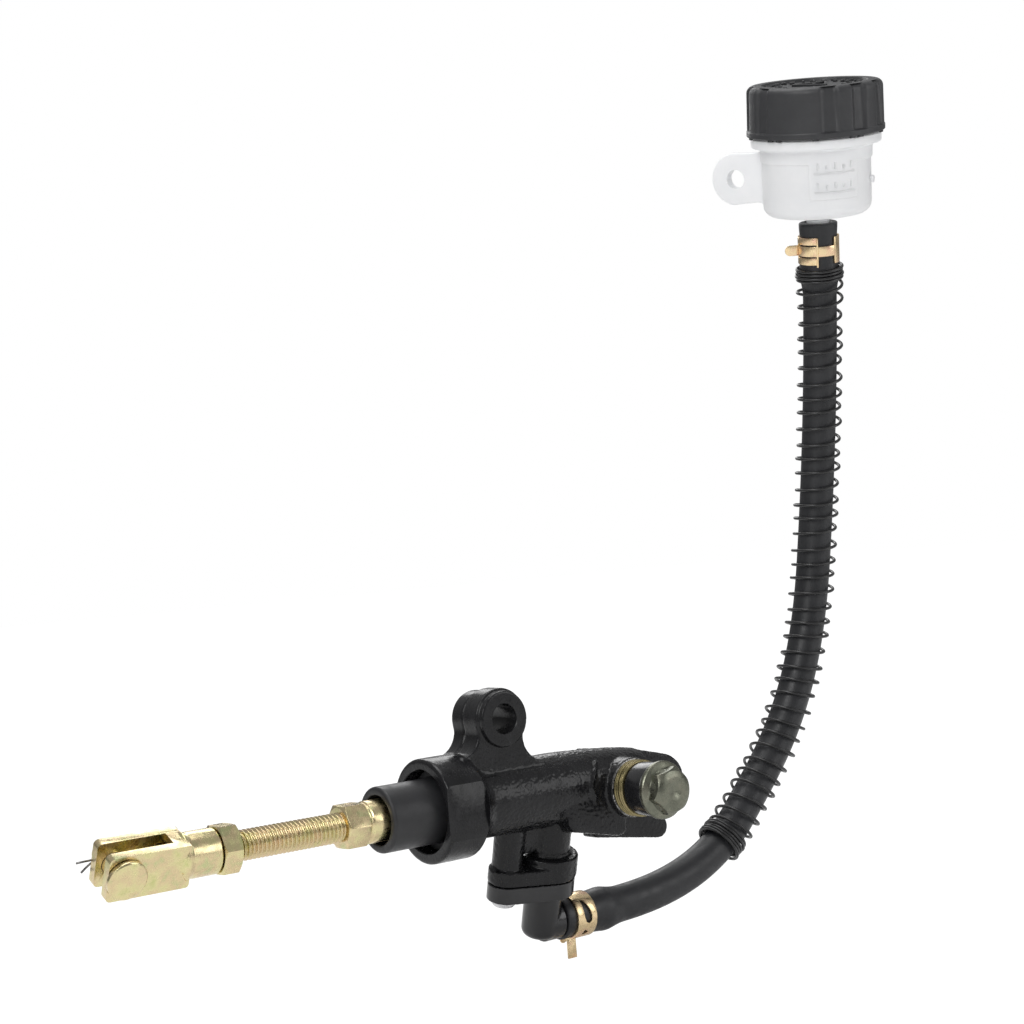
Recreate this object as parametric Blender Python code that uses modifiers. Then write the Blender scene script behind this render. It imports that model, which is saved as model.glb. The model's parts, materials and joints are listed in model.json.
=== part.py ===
"""Rear brake master cylinder with a remote fluid reservoir.

Lengths are in millimetres; the last step turns every object into metres.  In
the casting's own frame X runs along the bore from the open mouth to the closed
end, +Y points to the side that meets the vehicle frame, Z points up, and the
centre of the mouth is zero.  The near side is -Y.  Every part hangs under one
empty, which puts the world origin on the frame-side face of the front eye.
"""

import math

import bmesh
import bpy
import numpy as np
from mathutils import Matrix, Vector

METRE = 0.001                            # final scale of one millimetre
X, Y, Z = Vector((1, 0, 0)), Vector((0, 1, 0)), Vector((0, 0, 1))
MOUTH = Vector((0, 0, 0))

# ---------------------------------------------------------------- dimensions
# _R is a radius; _START and _END are places along a piece's own axis.
# casting
COLLAR_R, COLLAR_END = 14.5, 12.5        # heavy collar around the mouth
TUBE_R, TUBE_END = 10.25, 77.5           # cylinder tube
COLLAR_FLAT = 12.4                       # distance of the milled flat from the axis
RECESS_R, RECESS_END = 11.5, 6.5         # seat of the dust boot
STOP_R, STOP_END = 8.3, 11.9             # seat of the rod stop washer
GROOVE_R, GROOVE_START, GROOVE_END = 9.3, 8.4, 10.15
BORE_R, BORE_END = 6.35, 62.0            # half inch bore
EYE_X, EYE_Z, EYE_R, EYE_HOLE_R = 24.4, 22.8, 8.6, 4.2
EYE_FRONT, EYE_BACK = -8.0, 7.2          # near and frame-side faces of the eye
BOSS_ROOT = 5.0                          # where the eyes' bosses start, off the bore's plane
REAR_X, REAR_Z, REAR_R = 88.0, -4.5, 8.8
REAR_FRONT = 0.5                         # near face of the rear arm
WEB_BACK = 6.5                           # frame-side face of the rear web and arm
INLET_X, INLET_TILT = 45.6, 15.8         # fluid inlet, leaning to the frame side
PAD_BOTTOM = 26.0                        # inlet pad face, along the inlet axis
PAD_R, EAR_R, EAR_X = 8.9, 5.2, -14.6    # pad and its screw ear
PORT_X, PORT_Z, PORT_R, PORT_FACE = 66.2, -2.1, 8.7, -10.5
# return spring
SPRING_START, SPRING_END, SPRING_R, SPRING_WIRE = 43.6, 61.0, 4.0, 0.45
SPRING_MIDDLE_TURNS = 5                  # between one closed turn at each end
SPRING_CLOSED_PITCH = 1.15
# moving line of the push rod
BALL_X, BALL_R, BALL_SEAT_R = 17.0, 4.0, 4.3
ROD_R, ROD_END = 4.0, -73.0              # M8 thread
ADJUSTER_FLATS = 11.2                    # width across flats
NUT_FLATS, NUT_START, NUT_END = 12.0, -61.5, -55.0
PIN_X, PIN_R, PIN_HEAD_R = -90.0, 3.0, 5.2
CLEVIS_ROLL = math.radians(25.0)
CLEVIS_TIP, CLEVIS_BASE = -7.0, 15.2     # ends of the fork, from the pin
EAR_THICKNESS, SLOT_WIDTH, CLEVIS_HEIGHT = 2.6, 4.7, 12.0
CLEVIS_HALF = SLOT_WIDTH / 2 + EAR_THICKNESS
THREAD_GAP = 0.3                         # thread and pin holes, beyond the shank radius
COTTER_AT = -CLEVIS_HALF - 1.6           # along the clevis pin
COTTER_WIRE, COTTER_LEG = 0.28, 0.34     # wire radius, leg's distance from the middle
# brake line outlet
BOLT_FLANGE = -23.3                      # seat of the banjo bolt's head, along Y
# elbow, hose and reservoir
FLANGE_BOTTOM = 31.2                     # along the inlet axis
SCREW_SEAT = 31.5
OUTLET_DOWN = 41.7                       # elbow outlet, along the inlet axis
HOSE_R, HOSE_BORE = 5.5, 4.2
HOSE_SWELL, SWELL_LENGTH, SWELL_FADE = 0.13, 19.0, 5.0
GUARD_R, GUARD_WIRE, GUARD_PITCH = 6.9, 0.5, 5.0
GUARD_START, GUARD_END = 79.0, 22.5      # distances from the hose's two ends
GUARD_CLOSED, GUARD_CLOSED_PITCH = (5, 3), 1.55  # closed turns at the two ends
RESERVOIR_FOOT = Vector((162.3, -13.3, 167.7))  # centre of the hose's upper end
RESERVOIR_AXIS = Vector((-0.193, -0.254, 0.948)).normalized()
RESERVOIR_R = 17.3
CAP_R, CAP_START, CAP_END = 21.9, 28.6, 44.4
TAB_REACH, TAB_HEIGHT, TAB_R, TAB_THICKNESS = 28.0, 14.0, 8.6, 3.0
FLEX_AT = Vector((155.0, 9.0, 14.0))     # middle of the hose's bend

ORIGIN = Vector((EYE_X, EYE_BACK, EYE_Z - 6.0))

# --------------------------------------------------------------------- scene
for old in list(bpy.data.objects):
    bpy.data.objects.remove(old, do_unlink=True)

parts = bpy.data.collections.new("brake_master_cylinder")
cutters = bpy.data.collections.new("cutters")
for collection in (parts, cutters):
    bpy.context.scene.collection.children.link(collection)

datum = bpy.data.objects.new("datum", None)
datum.location = -ORIGIN
parts.objects.link(datum)


def material(name, colour, roughness, metallic=0.0):
    made = bpy.data.materials.new(name)
    made.use_nodes = True
    shader = made.node_tree.nodes["Principled BSDF"]
    shader.inputs["Base Color"].default_value = (*colour, 1)
    shader.inputs["Roughness"].default_value = roughness
    shader.inputs["Metallic"].default_value = metallic
    return made


def metal(name, colour, roughness):
    return material(name, colour, roughness, metallic=1.0)


LOOKS = dict(
    casting=material("black_painted_casting", colour=(0.012, 0.012, 0.014), roughness=0.35),
    rubber=material("black_rubber", colour=(0.02, 0.02, 0.023), roughness=0.55),
    zinc=metal("yellow_zinc_steel", colour=(0.66, 0.58, 0.33), roughness=0.3),
    olive=metal("olive_zinc_steel", colour=(0.27, 0.28, 0.2), roughness=0.35),
    brassy=metal("olive_washer", colour=(0.4, 0.33, 0.17), roughness=0.35),
    spring=metal("spring_steel", colour=(0.45, 0.45, 0.47), roughness=0.3),
    guard=material("black_wire", colour=(0.01, 0.01, 0.011), roughness=0.35),
    gloss=material("black_nylon", colour=(0.012, 0.012, 0.013), roughness=0.25),
    clamp=metal("pale_gold_steel", colour=(0.8, 0.6, 0.36), roughness=0.3),
    white=material("white_polyethylene", colour=(0.86, 0.87, 0.88), roughness=0.4),
    cap=material("dark_grey_cap", colour=(0.03, 0.03, 0.032), roughness=0.45),
    piston=metal("turned_aluminium", colour=(0.75, 0.75, 0.76), roughness=0.25),
    steel=metal("plated_steel", colour=(0.62, 0.62, 0.63), roughness=0.25),
)


# ------------------------------------------------------------ mesh and object
def turn_to(direction, across=None):
    """Rotation that lays local Z on direction and local X as near across as it can."""
    z = direction.normalized()
    if across is None:
        across = X if abs(z.x) < 0.9 else Z
    x = (across - z * across.dot(z)).normalized()
    return Matrix((x, z.cross(x), z)).transposed().to_4x4()


def place(name, mesh, at, rotation=None, helper=False):
    """A new object under the datum, its origin at the point at."""
    thing = bpy.data.objects.new(name, mesh)
    (cutters if helper else parts).objects.link(thing)
    thing.parent = datum
    if rotation is None:
        rotation = Matrix.Identity(4)
    thing.matrix_basis = Matrix.Translation(at) @ rotation
    if helper:
        thing.hide_render = True
        thing.display_type = "WIRE"
    return thing


def mesh_from(work, name):
    bmesh.ops.recalc_face_normals(work, faces=work.faces)
    mesh = bpy.data.meshes.new(name)
    work.to_mesh(mesh)
    work.free()
    return mesh


def evaluated_mesh(thing):
    bpy.context.view_layer.update()
    graph = bpy.context.evaluated_depsgraph_get()
    return bpy.data.meshes.new_from_object(thing.evaluated_get(graph))


# --------------------------------------------------------------- basic solids
def cylinder(name, radius, length, at, direction, helper=True, sides=32,
             end_radius=None, across=None):
    """A cylinder or cone that starts at the point at and runs along direction."""
    work = bmesh.new()
    bmesh.ops.create_cone(
        work, cap_ends=True, segments=sides, radius1=radius,
        radius2=radius if end_radius is None else end_radius, depth=length,
    )
    bmesh.ops.translate(work, verts=work.verts, vec=(0, 0, length / 2))
    return place(name, mesh_from(work, name), at, turn_to(direction, across), helper)


def hexagon(name, flats, length, at, direction, across, helper=True):
    """A hexagonal prism, flats wide across its flats, with a corner towards across."""
    return cylinder(name, flats / math.sqrt(3), length, at, direction, helper, 6, across=across)


def box(name, low, high, at=MOUTH, rotation=None, helper=True):
    """A box between two opposite corners in its own frame."""
    work = bmesh.new()
    bmesh.ops.create_cube(work, size=1.0)
    low, high = Vector(low), Vector(high)
    bmesh.ops.scale(work, verts=work.verts, vec=high - low)
    bmesh.ops.translate(work, verts=work.verts, vec=(high + low) / 2)
    return place(name, mesh_from(work, name), at, rotation, helper)


def turned(name, profile, at, direction, helper=False, steps=32, closed=False):
    """A turned solid.  The profile lists (radius, height) pairs; a closed profile
    is a ring, an open one begins and ends on the axis."""
    mesh = bpy.data.meshes.new(name)
    edges = [(i, i + 1) for i in range(len(profile) - 1)]
    if closed:
        edges.append((len(profile) - 1, 0))
    mesh.from_pydata([(radius, 0, height) for radius, height in profile], edges, [])
    thing = place(name, mesh, at, turn_to(direction), helper)
    screw = thing.modifiers.new("turn", "SCREW")
    screw.axis = "Z"
    screw.steps = steps
    screw.render_steps = steps
    screw.use_merge_vertices = True
    screw.merge_threshold = 1e-4
    screw.use_normal_calculate = False
    screw.use_smooth_shade = True
    return thing


def curve_mesh(name, data, points, scale=None, cyclic=False):
    """A mesh made from a curve through points, with its loose caps welded on."""
    line = data.splines.new("POLY")
    line.points.add(len(points) - 1)
    for i, (point, where) in enumerate(zip(line.points, points)):
        point.co = (*where, 1)
        point.radius = 1.0 if scale is None else scale[i]
    line.use_cyclic_u = cyclic
    curve = bpy.data.objects.new(name + "_curve", data)
    cutters.objects.link(curve)
    mesh = evaluated_mesh(curve)
    work = bmesh.new()
    work.from_mesh(mesh)
    bmesh.ops.remove_doubles(work, verts=work.verts, dist=1e-4)
    bpy.data.objects.remove(curve, do_unlink=True)
    bpy.data.meshes.remove(mesh)
    return mesh_from(work, name)


def flat(name, outline, low, high, at, normal, across):
    """A helper plate from low to high along normal, with its outline in its plane."""
    data = bpy.data.curves.new(name, "CURVE")
    data.dimensions = "2D"
    data.fill_mode = "BOTH"
    data.extrude = (high - low) / 2
    mesh = curve_mesh(name, data, [(x, y, 0) for x, y in outline], cyclic=True)
    work = bmesh.new()
    work.from_mesh(mesh)
    # one face for each side, so that a bevel runs cleanly round its edge
    bmesh.ops.dissolve_limit(work, angle_limit=0.01, verts=work.verts, edges=work.edges)
    bmesh.ops.translate(work, verts=work.verts, vec=(0, 0, (high + low) / 2))
    work.to_mesh(mesh)
    work.free()
    return place(name, mesh, at, turn_to(normal, across), helper=True)


def side_plate(name, outline, near, far):
    """A plate with an (x, z) outline, between near and far along Y."""
    # with -Y as the normal and X across, the outline's second axis is +Z
    return flat(name, outline, -far, -near, MOUTH, -Y, X)


def tube_along(name, points, radius, resolution=0, helper=False, scale=None):
    """A wire or hose swept along points, capped at both ends."""
    data = bpy.data.curves.new(name, "CURVE")
    data.dimensions = "3D"
    data.bevel_depth = radius
    data.bevel_resolution = resolution
    data.use_fill_caps = True
    data.twist_mode = "MINIMUM"
    return place(name, curve_mesh(name, data, points, scale), MOUTH, helper=helper)


# ------------------------------------------------------ modifiers and finish
def round_off(thing, width):
    edge = thing.modifiers.new("edges", "BEVEL")
    edge.width = width
    edge.segments = 1
    edge.limit_method = "ANGLE"
    edge.angle_limit = math.radians(40)
    edge.use_clamp_overlap = True


def combine(thing, operation, *others):
    """One Boolean for all the others, which share a collection under cutters."""
    group = bpy.data.collections.new(f"{thing.name}_{operation.lower()}")
    cutters.children.link(group)
    for other in others:
        cutters.objects.unlink(other)
        group.objects.link(other)
    step = thing.modifiers.new(operation.lower(), "BOOLEAN")
    step.operation = operation
    step.solver = "EXACT"
    step.operand_type = "COLLECTION"
    step.collection = group


def join(thing, *others):
    combine(thing, "UNION", *others)


def cut(thing, *others):
    combine(thing, "DIFFERENCE", *others)


def finish(thing, look, sharp=35):
    """Applies the modifiers, gives the piece its material and shades it."""
    mesh = evaluated_mesh(thing)
    thing.modifiers.clear()
    thing.data = mesh
    mesh.name = thing.name
    mesh.materials.clear()
    mesh.materials.append(LOOKS[look])
    mesh.shade_smooth()
    mesh.set_sharp_from_angle(angle=math.radians(sharp))


# ------------------------------------------------------------ lines and points
def arc(x, y, radius, start, end, count):
    """Points on a circle from angle start to end, in degrees."""
    return [
        (x + radius * math.cos(math.radians(angle)), y + radius * math.sin(math.radians(angle)))
        for angle in np.linspace(start, end, count)
    ]


def hull_of_circles(first, first_r, second, second_r):
    """Outline round two circles and the tangents between them."""
    run, rise = second[0] - first[0], second[1] - first[1]
    heading = math.degrees(math.atan2(rise, run))
    lean = math.degrees(math.acos((first_r - second_r) / math.hypot(run, rise)))
    return (
        arc(*first, first_r, heading + lean, heading + 360 - lean, 10)
        + arc(*second, second_r, heading - lean, heading + lean, 10)
    )


def bezier(start, start_pull, end_pull, end, count=60):
    """Points of one cubic segment, without its last one."""
    out = []
    for t in np.linspace(0, 1, count + 1)[:-1]:
        rest = 1 - t
        out.append(start * rest**3 + start_pull * 3 * rest * rest * t
                   + end_pull * 3 * rest * t * t + end * t**3)
    return out


def coil_station(turn, start, end, closed, middle_turns, closed_pitch):
    """Distance along a coil after some turns: closed at both ends, even between."""
    head, tail = closed
    if turn < head:
        return start + closed_pitch * turn
    if turn < head + middle_turns:
        middle = (end - start) - closed_pitch * (head + tail)
        return start + closed_pitch * head + middle * (turn - head) / middle_turns
    return end - closed_pitch * (head + middle_turns + tail - turn)


tilt = math.radians(INLET_TILT)
DOWN = Vector((0, math.sin(tilt), -math.cos(tilt)))       # inlet axis


def inlet_point(down, across=0.0):
    """A point down the inlet axis, set off along X."""
    return Vector((INLET_X, 0, 0)) + X * across + DOWN * down


def port_point(y):
    """A point on the axis of the brake line outlet."""
    return Vector((PORT_X, y, PORT_Z))


# ---------------------------------------------------------- cylinder casting
def eye_outline(head_r, left_r, right_r, left_foot, right_foot):
    """The eye's head with hollow flares running down to collar and tube."""
    def flare(radius, foot):
        """The hollow's offset from the eye along X, its height, and its slope."""
        z = foot + radius
        offset = math.sqrt((head_r + radius) ** 2 - (EYE_Z - z) ** 2)
        return offset, z, math.degrees(math.atan2(EYE_Z - z, offset))

    skirt_z = 3.0                        # buried in the tube
    left, left_z, left_angle = flare(left_r, left_foot)
    right, right_z, right_angle = flare(right_r, right_foot)
    return (
        [(EYE_X - left, skirt_z)]
        + arc(EYE_X - left, left_z, left_r, -90, left_angle, 5)
        + arc(EYE_X, EYE_Z, head_r, 180 + left_angle, -right_angle, 14)[1:-1]
        + arc(EYE_X + right, right_z, right_r, 180 - right_angle, 270, 5)
        + [(EYE_X + right, skirt_z)]
    )


def eye_features():
    """Webs of the front eye, its near-side pad and its frame-side boss."""
    return [
        side_plate("front_web", eye_outline(EYE_R, 6.0, 7.0, 13.6, 9.6), near=-6.3, far=0.8),
        side_plate("rear_web", eye_outline(EYE_R - 0.7, 7.0, 8.0, 13.4, 9.4),
                   near=0.7, far=WEB_BACK),
        cylinder("eye_pad", 7.8, -EYE_FRONT - BOSS_ROOT, (EYE_X, -BOSS_ROOT, EYE_Z), -Y,
                 sides=24),
        cylinder("eye_boss", 7.6, EYE_BACK - BOSS_ROOT, (EYE_X, BOSS_ROOT, EYE_Z), Y, sides=24),
    ]


def inlet_features():
    """Inlet boss, the pad that carries the elbow, and the pillar for its screw."""
    pad_outline = hull_of_circles((0, 0), PAD_R, (EAR_X, 0), EAR_R)
    return [
        cylinder("inlet_boss", 6.3, 20.5, inlet_point(0), DOWN, sides=24, across=X),
        cylinder("inlet_round", PAD_R + 0.15, PAD_BOTTOM - 20.2, inlet_point(19.2), DOWN,
                 sides=28, across=X),
        flat("inlet_pad", pad_outline, 21.6, PAD_BOTTOM, inlet_point(0), DOWN, X),
        cylinder("screw_pillar", 4.4, 18.0, inlet_point(5.0, EAR_X), DOWN, sides=20, across=X),
    ]


def rear_features():
    """Outlet boss, the wedge beside it, and the arm of the rear eye."""
    port_boss = cylinder("port_boss", PORT_R, -PORT_FACE, port_point(0), -Y, sides=28)
    wedge_outline = (
        [(42.0, 4.0), (42.0, -7.5), (46.0, -10.2), (62.5, -15.4)]
        + arc(63.2, -12.6, 2.8, -80, 0, 5)
        + [(66.0, 4.0)]
    )
    wedge = side_plate("port_wedge", wedge_outline, near=-9.4, far=3.0)
    round_off(wedge, 1.2)
    arm_outline = (
        [(60.0, 9.6)]
        + arc(REAR_X, REAR_Z, REAR_R, 78, -62, 16)
        + [(84.0, -13.4)]
        + arc(89.5, -17.4, 3.3, 80, -98, 8)
        + [(60.0, -17.2)]
    )
    arm = side_plate("rear_arm", arm_outline, near=REAR_FRONT, far=WEB_BACK)
    boss = cylinder("rear_boss", 7.9, EYE_BACK - BOSS_ROOT, (REAR_X, BOSS_ROOT, REAR_Z), Y,
                    sides=24)
    return [port_boss, wedge, arm, boss]


def bore_cutter():
    """The stepped bore: main bore, stop seat, circlip groove and boot recess."""
    return turned(
        "bore_cutter",
        [
            (0, BORE_END), (BORE_R - 1.5, BORE_END), (BORE_R, BORE_END - 0.8),
            (BORE_R, STOP_END), (STOP_R, STOP_END), (STOP_R, GROOVE_END),
            (GROOVE_R, GROOVE_END), (GROOVE_R, GROOVE_START), (STOP_R, GROOVE_START),
            (STOP_R, RECESS_END), (RECESS_R, RECESS_END), (RECESS_R, 0.5),
            (RECESS_R + 0.5, 0), (RECESS_R + 0.5, -4), (0, -4),
        ],
        MOUTH, X, helper=True, steps=24,
    )


def casting_holes():
    # name, radius, length, start, direction, sides
    holes = [
        ("eye_hole_cutter", EYE_HOLE_R, 24, (EYE_X, -12, EYE_Z), Y, 20),
        ("rear_hole_cutter", EYE_HOLE_R, 24, (REAR_X, -12, REAR_Z), Y, 20),
        ("port_hole_cutter", 5.3, 16, port_point(PORT_FACE - 4), Y, 20),
        ("inlet_hole_cutter", 3.0, 24, inlet_point(9), DOWN, 16),
        ("inlet_jet_cutter", 1.2, 8, inlet_point(3), DOWN, 8),
        ("inlet_seat_cutter", 5.05, 8, inlet_point(22), DOWN, 24),
        ("screw_hole_cutter", 2.45, 16, inlet_point(13, EAR_X), DOWN, 16),
    ]
    return [
        cylinder(name, radius, length, at, direction, sides=sides)
        for name, radius, length, at, direction, sides in holes
    ]


def cylinder_body():
    body = turned(
        "cylinder_body",
        [
            (0, TUBE_END), (7.6, TUBE_END), (9.6, TUBE_END - 0.9), (TUBE_R, TUBE_END - 3),
            (TUBE_R, COLLAR_END + 5.0), (10.9, COLLAR_END + 3.2), (12.6, COLLAR_END + 1.2),
            (COLLAR_R - 0.5, COLLAR_END), (COLLAR_R, COLLAR_END - 0.6), (COLLAR_R, 0.6),
            (COLLAR_R - 0.5, 0), (0, 0),
        ],
        MOUTH, X, steps=32,
    )
    join(body, *eye_features(), *inlet_features(), *rear_features())
    collar_flat = box("collar_flat_cutter", (-2, -20, -20), (COLLAR_END + 0.4, -COLLAR_FLAT, 20))
    cut(body, collar_flat, bore_cutter(), *casting_holes())
    finish(body, "casting")


# ------------------------------------------------- parts inside the cylinder
# Rings round the bore: name, look, steps, closed profile of (radius, x)
BORE_RINGS = [
    ("dust_boot", "rubber", 28, [
        (11.2, 6.0), (11.2, 4.2), (9.0, 4.2), (9.0, -12.2), (8.65, -13.8), (7.9, -14.7),
        (7.2, -15.0), (6.7, -14.8), (6.7, -12.8), (7.2, -12.4), (7.2, 6.0),
    ]),
    ("rod_stop_washer", "steel", 24, [(8.0, 11.6), (8.0, 10.4), (4.9, 10.4), (4.9, 11.6)]),
    ("primary_cup", "rubber", 20, [
        (6.05, 42.6), (6.05, 39.8), (2.6, 39.8), (2.6, 41.4), (4.4, 41.6), (5.4, 42.6),
    ]),
    ("secondary_cup", "rubber", 20, [
        (6.05, 25.3), (6.05, 22.5), (4.3, 22.5), (4.3, 24.0), (5.4, 25.3),
    ]),
]


def bore_rings():
    for name, look, steps, profile in BORE_RINGS:
        finish(turned(name, profile, MOUTH, X, steps=steps, closed=True), look)


def circlip():
    """A ring with its gap at the bottom."""
    clip = turned("circlip", [(8.95, 9.85), (8.95, 8.7), (7.0, 8.7), (7.0, 9.85)],
                  MOUTH, X, steps=24, closed=True)
    cut(clip, box("circlip_gap_cutter", (7, -1.6, -12), (12, 1.6, 0)))
    finish(clip, "steel")


def piston():
    """Two waists for the cups, and a round seat for the rod's ball."""
    profile = [
        (0, 44.0), (2.1, 44.0), (2.3, 43.7), (2.3, 39.5), (5.6, 39.5), (6.05, 39.1),
        (6.05, 37.0), (4.2, 37.0), (4.2, 27.5), (6.05, 27.5), (6.05, 25.6), (4.0, 25.6),
        (4.0, 22.2), (6.05, 22.2), (6.05, 14.2), (5.7, 13.8), (4.6, 13.8),
        (BALL_SEAT_R, 14.2),
    ]
    profile += arc(0, BALL_X, BALL_SEAT_R, 0, 90, 6)[:-1]
    profile.append((0, BALL_X + BALL_SEAT_R))
    finish(turned("piston", profile, MOUTH, X, steps=20), "piston")


def return_spring():
    points_per_turn = 10
    points = []
    for i in range((SPRING_MIDDLE_TURNS + 2) * points_per_turn + 1):
        turn = i / points_per_turn
        along = coil_station(turn, SPRING_START + SPRING_WIRE, SPRING_END - SPRING_WIRE,
                             (1, 1), SPRING_MIDDLE_TURNS, SPRING_CLOSED_PITCH)
        angle = 2 * math.pi * turn
        points.append((along, SPRING_R * math.cos(angle), SPRING_R * math.sin(angle)))
    finish(tube_along("return_spring", points, SPRING_WIRE), "spring", 60)


# ------------------------------------------------------ push rod and clevis
def push_rod():
    """Ball, stop collar, shank, adjuster hexagon and threaded end."""
    tail = ROD_END - BALL_X
    rod = turned(
        "push_rod",
        [(0, BALL_R)]
        + arc(0, 0, BALL_R, 90, 90 - 139, 8)[1:]
        + [
            (2.6, -3.7), (5.5, -3.8), (5.5, -5.0), (3.9, -5.0), (3.9, -28.0), (5.4, -28.0),
            (5.8, -28.4), (5.8, -35.5), (ROD_R, -35.5), (ROD_R, tail + 1.0),
            (ROD_R - 0.9, tail), (0, tail),
        ],
        (BALL_X, 0, 0), X, steps=20,
    )
    join(rod, hexagon("adjuster_hex", ADJUSTER_FLATS, 7.0, (-25.0, 0, 0), X, Y))
    finish(rod, "zinc")


def clevis_lock_nut():
    length, start = NUT_END - NUT_START, (NUT_START, 0, 0)
    flat_r = NUT_FLATS / 2 + 0.05
    corner_r = NUT_FLATS / math.sqrt(3) + 0.1
    nut = hexagon("clevis_lock_nut", NUT_FLATS, length, start, X, Y, helper=False)
    chamfer = turned(
        "nut_chamfer",
        [
            (0, length + 0.02), (flat_r, length + 0.02), (corner_r, length - 0.65),
            (corner_r, 0.65), (flat_r, -0.02), (0, -0.02),
        ],
        start, X, helper=True, steps=24,
    )
    combine(nut, "INTERSECT", chamfer)
    cut(nut, cylinder("nut_thread_cutter", ROD_R + THREAD_GAP, 12, (NUT_START - 3, 0, 0), X,
                      sides=20))
    finish(nut, "zinc")


PIN_AT = Vector((PIN_X, 0, 0))
# along the clevis pin, towards its head
PIN_WAY = Vector((0, -math.cos(CLEVIS_ROLL), -math.sin(CLEVIS_ROLL)))


def clevis():
    """A fork rolled about X, with a round neck that takes the rod."""
    frame = Matrix.Rotation(CLEVIS_ROLL, 4, "X")
    fork = box("clevis", (CLEVIS_TIP, -CLEVIS_HALF, -CLEVIS_HEIGHT / 2),
               (CLEVIS_BASE, CLEVIS_HALF, CLEVIS_HEIGHT / 2), PIN_AT, frame, helper=False)
    round_off(fork, 0.8)
    neck = turned(
        "clevis_neck",
        [(0, 12.5), (5.5, 12.5), (5.9, 12.1), (5.9, 1.0), (6.4, -0.8), (4.6, -3.0), (0, -3.0)],
        (PIN_X + CLEVIS_BASE, 0, 0), X, helper=True, steps=24,
    )
    join(fork, neck)
    slot = box("clevis_slot_cutter", (-12, -SLOT_WIDTH / 2, -12), (12.4, SLOT_WIDTH / 2, 12),
               PIN_AT, frame)
    cross_hole = cylinder("clevis_hole_cutter", PIN_R + THREAD_GAP, 24, PIN_AT - PIN_WAY * 12,
                          PIN_WAY, sides=20)
    thread_hole = cylinder("clevis_thread_cutter", ROD_R + THREAD_GAP, 20,
                           (PIN_X + 11.0, 0, 0), X, sides=20)
    cut(fork, slot, cross_hole, thread_hole)
    finish(fork, "zinc")


COTTER_BASE = PIN_AT + PIN_WAY * COTTER_AT
COTTER_WAY = (X * -0.94 + PIN_WAY.cross(X) * 0.34).normalized()


def clevis_pin():
    pin = turned(
        "clevis_pin",
        [
            (0, CLEVIS_HALF + 1.7), (PIN_HEAD_R - 0.4, CLEVIS_HALF + 1.7),
            (PIN_HEAD_R, CLEVIS_HALF + 1.4), (PIN_HEAD_R, CLEVIS_HALF + 0.3),
            (PIN_R, CLEVIS_HALF + 0.3), (PIN_R, -CLEVIS_HALF - 3.4),
            (PIN_R - 0.6, -CLEVIS_HALF - 4.0), (0, -CLEVIS_HALF - 4.0),
        ],
        PIN_AT, PIN_WAY, steps=24,
    )
    cut(pin, cylinder("cotter_hole_cutter", 1.05, 12, COTTER_BASE - COTTER_WAY * 6, COTTER_WAY,
                      sides=12))
    finish(pin, "zinc")


# Split pin, (along COTTER_WAY, sideways): splayed leg, loop, splayed leg
COTTER_PATH = [
    (8.8, 2.3), (6.4, 1.15), (4.2, 0.45), (3.0, COTTER_LEG),
    (-3.0, COTTER_LEG), (-4.0, 0.55), (-4.9, 1.15), (-5.9, 1.1), (-6.5, 0.0),
    (-5.9, -1.1), (-4.9, -1.15), (-4.0, -0.55), (-3.0, -COTTER_LEG),
    (3.0, -COTTER_LEG), (4.4, -0.6), (6.6, -1.0), (9.6, -1.5),
]


def cotter_pin():
    side = PIN_WAY.cross(COTTER_WAY)
    path = [COTTER_BASE + COTTER_WAY * along + side * aside for along, aside in COTTER_PATH]
    finish(tube_along("cotter_pin", path, COTTER_WIRE), "spring", 60)


# -------------------------------------------------------- brake line outlet
def banjo_bolt():
    """Flanged bolt with a crowned hexagon, a dimple and crossed drillings."""
    seat = port_point(BOLT_FLANGE)
    bolt = turned(
        "banjo_bolt",
        [
            (0, 8.0), (3.6, 7.95), (5.7, 7.5), (5.9, 7.2), (5.9, 2.6), (6.9, 2.2), (8.0, 1.6),
            (8.3, 1.2), (8.3, 0.3), (8.1, 0), (4.95, 0), (4.95, -18.6), (4.2, -19.4),
            (0, -19.4),
        ],
        seat, -Y, steps=24,
    )
    head = hexagon("bolt_hex", 12.0, 5.2, port_point(BOLT_FLANGE - 1.4), -Y,
                   Vector((0.97, 0, 0.26)))
    crown = turned("bolt_crown", [(0, 8.1), (5.6, 7.7), (7.2, 6.7), (7.2, 0.5), (0, 0.5)],
                   seat, -Y, helper=True, steps=24)
    combine(head, "INTERSECT", crown)
    join(bolt, head)
    dimple = cylinder("bolt_dimple_cutter", 0.05, 1.6, port_point(BOLT_FLANGE - 7.1), -Y,
                      sides=16, end_radius=2.2)
    drilling = cylinder("bolt_drill_cutter", 2.0, 13.5, port_point(BOLT_FLANGE + 7.5), Y,
                        sides=12)
    cross_drill = cylinder("bolt_cross_cutter", 1.4, 14,
                           (PORT_X - 7, BOLT_FLANGE + 9.5, PORT_Z), X, sides=10)
    cut(bolt, dimple, drilling, cross_drill)
    finish(bolt, "olive")


# name, outer radius, start and end along -Y, look
BANJO_RINGS = [
    ("banjo_washer_inner", 8.2, 10.8, 13.8, "brassy"),
    ("banjo_washer_outer", 8.2, 14.8, 17.8, "brassy"),
    ("banjo_spacer", 7.7, 18.1, 23.0, "gloss"),
]


def banjo_rings():
    inner, chamfer = 5.25, 0.3
    for name, outer, start, end, look in BANJO_RINGS:
        profile = [
            (outer - chamfer, end), (outer, end - chamfer), (outer, start + chamfer),
            (outer - chamfer, start), (inner, start), (inner, end),
        ]
        finish(turned(name, profile, port_point(0), -Y, steps=24, closed=True), look)


# ------------------------------------------------------------- inlet elbow
OUTLET = inlet_point(OUTLET_DOWN)


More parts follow.
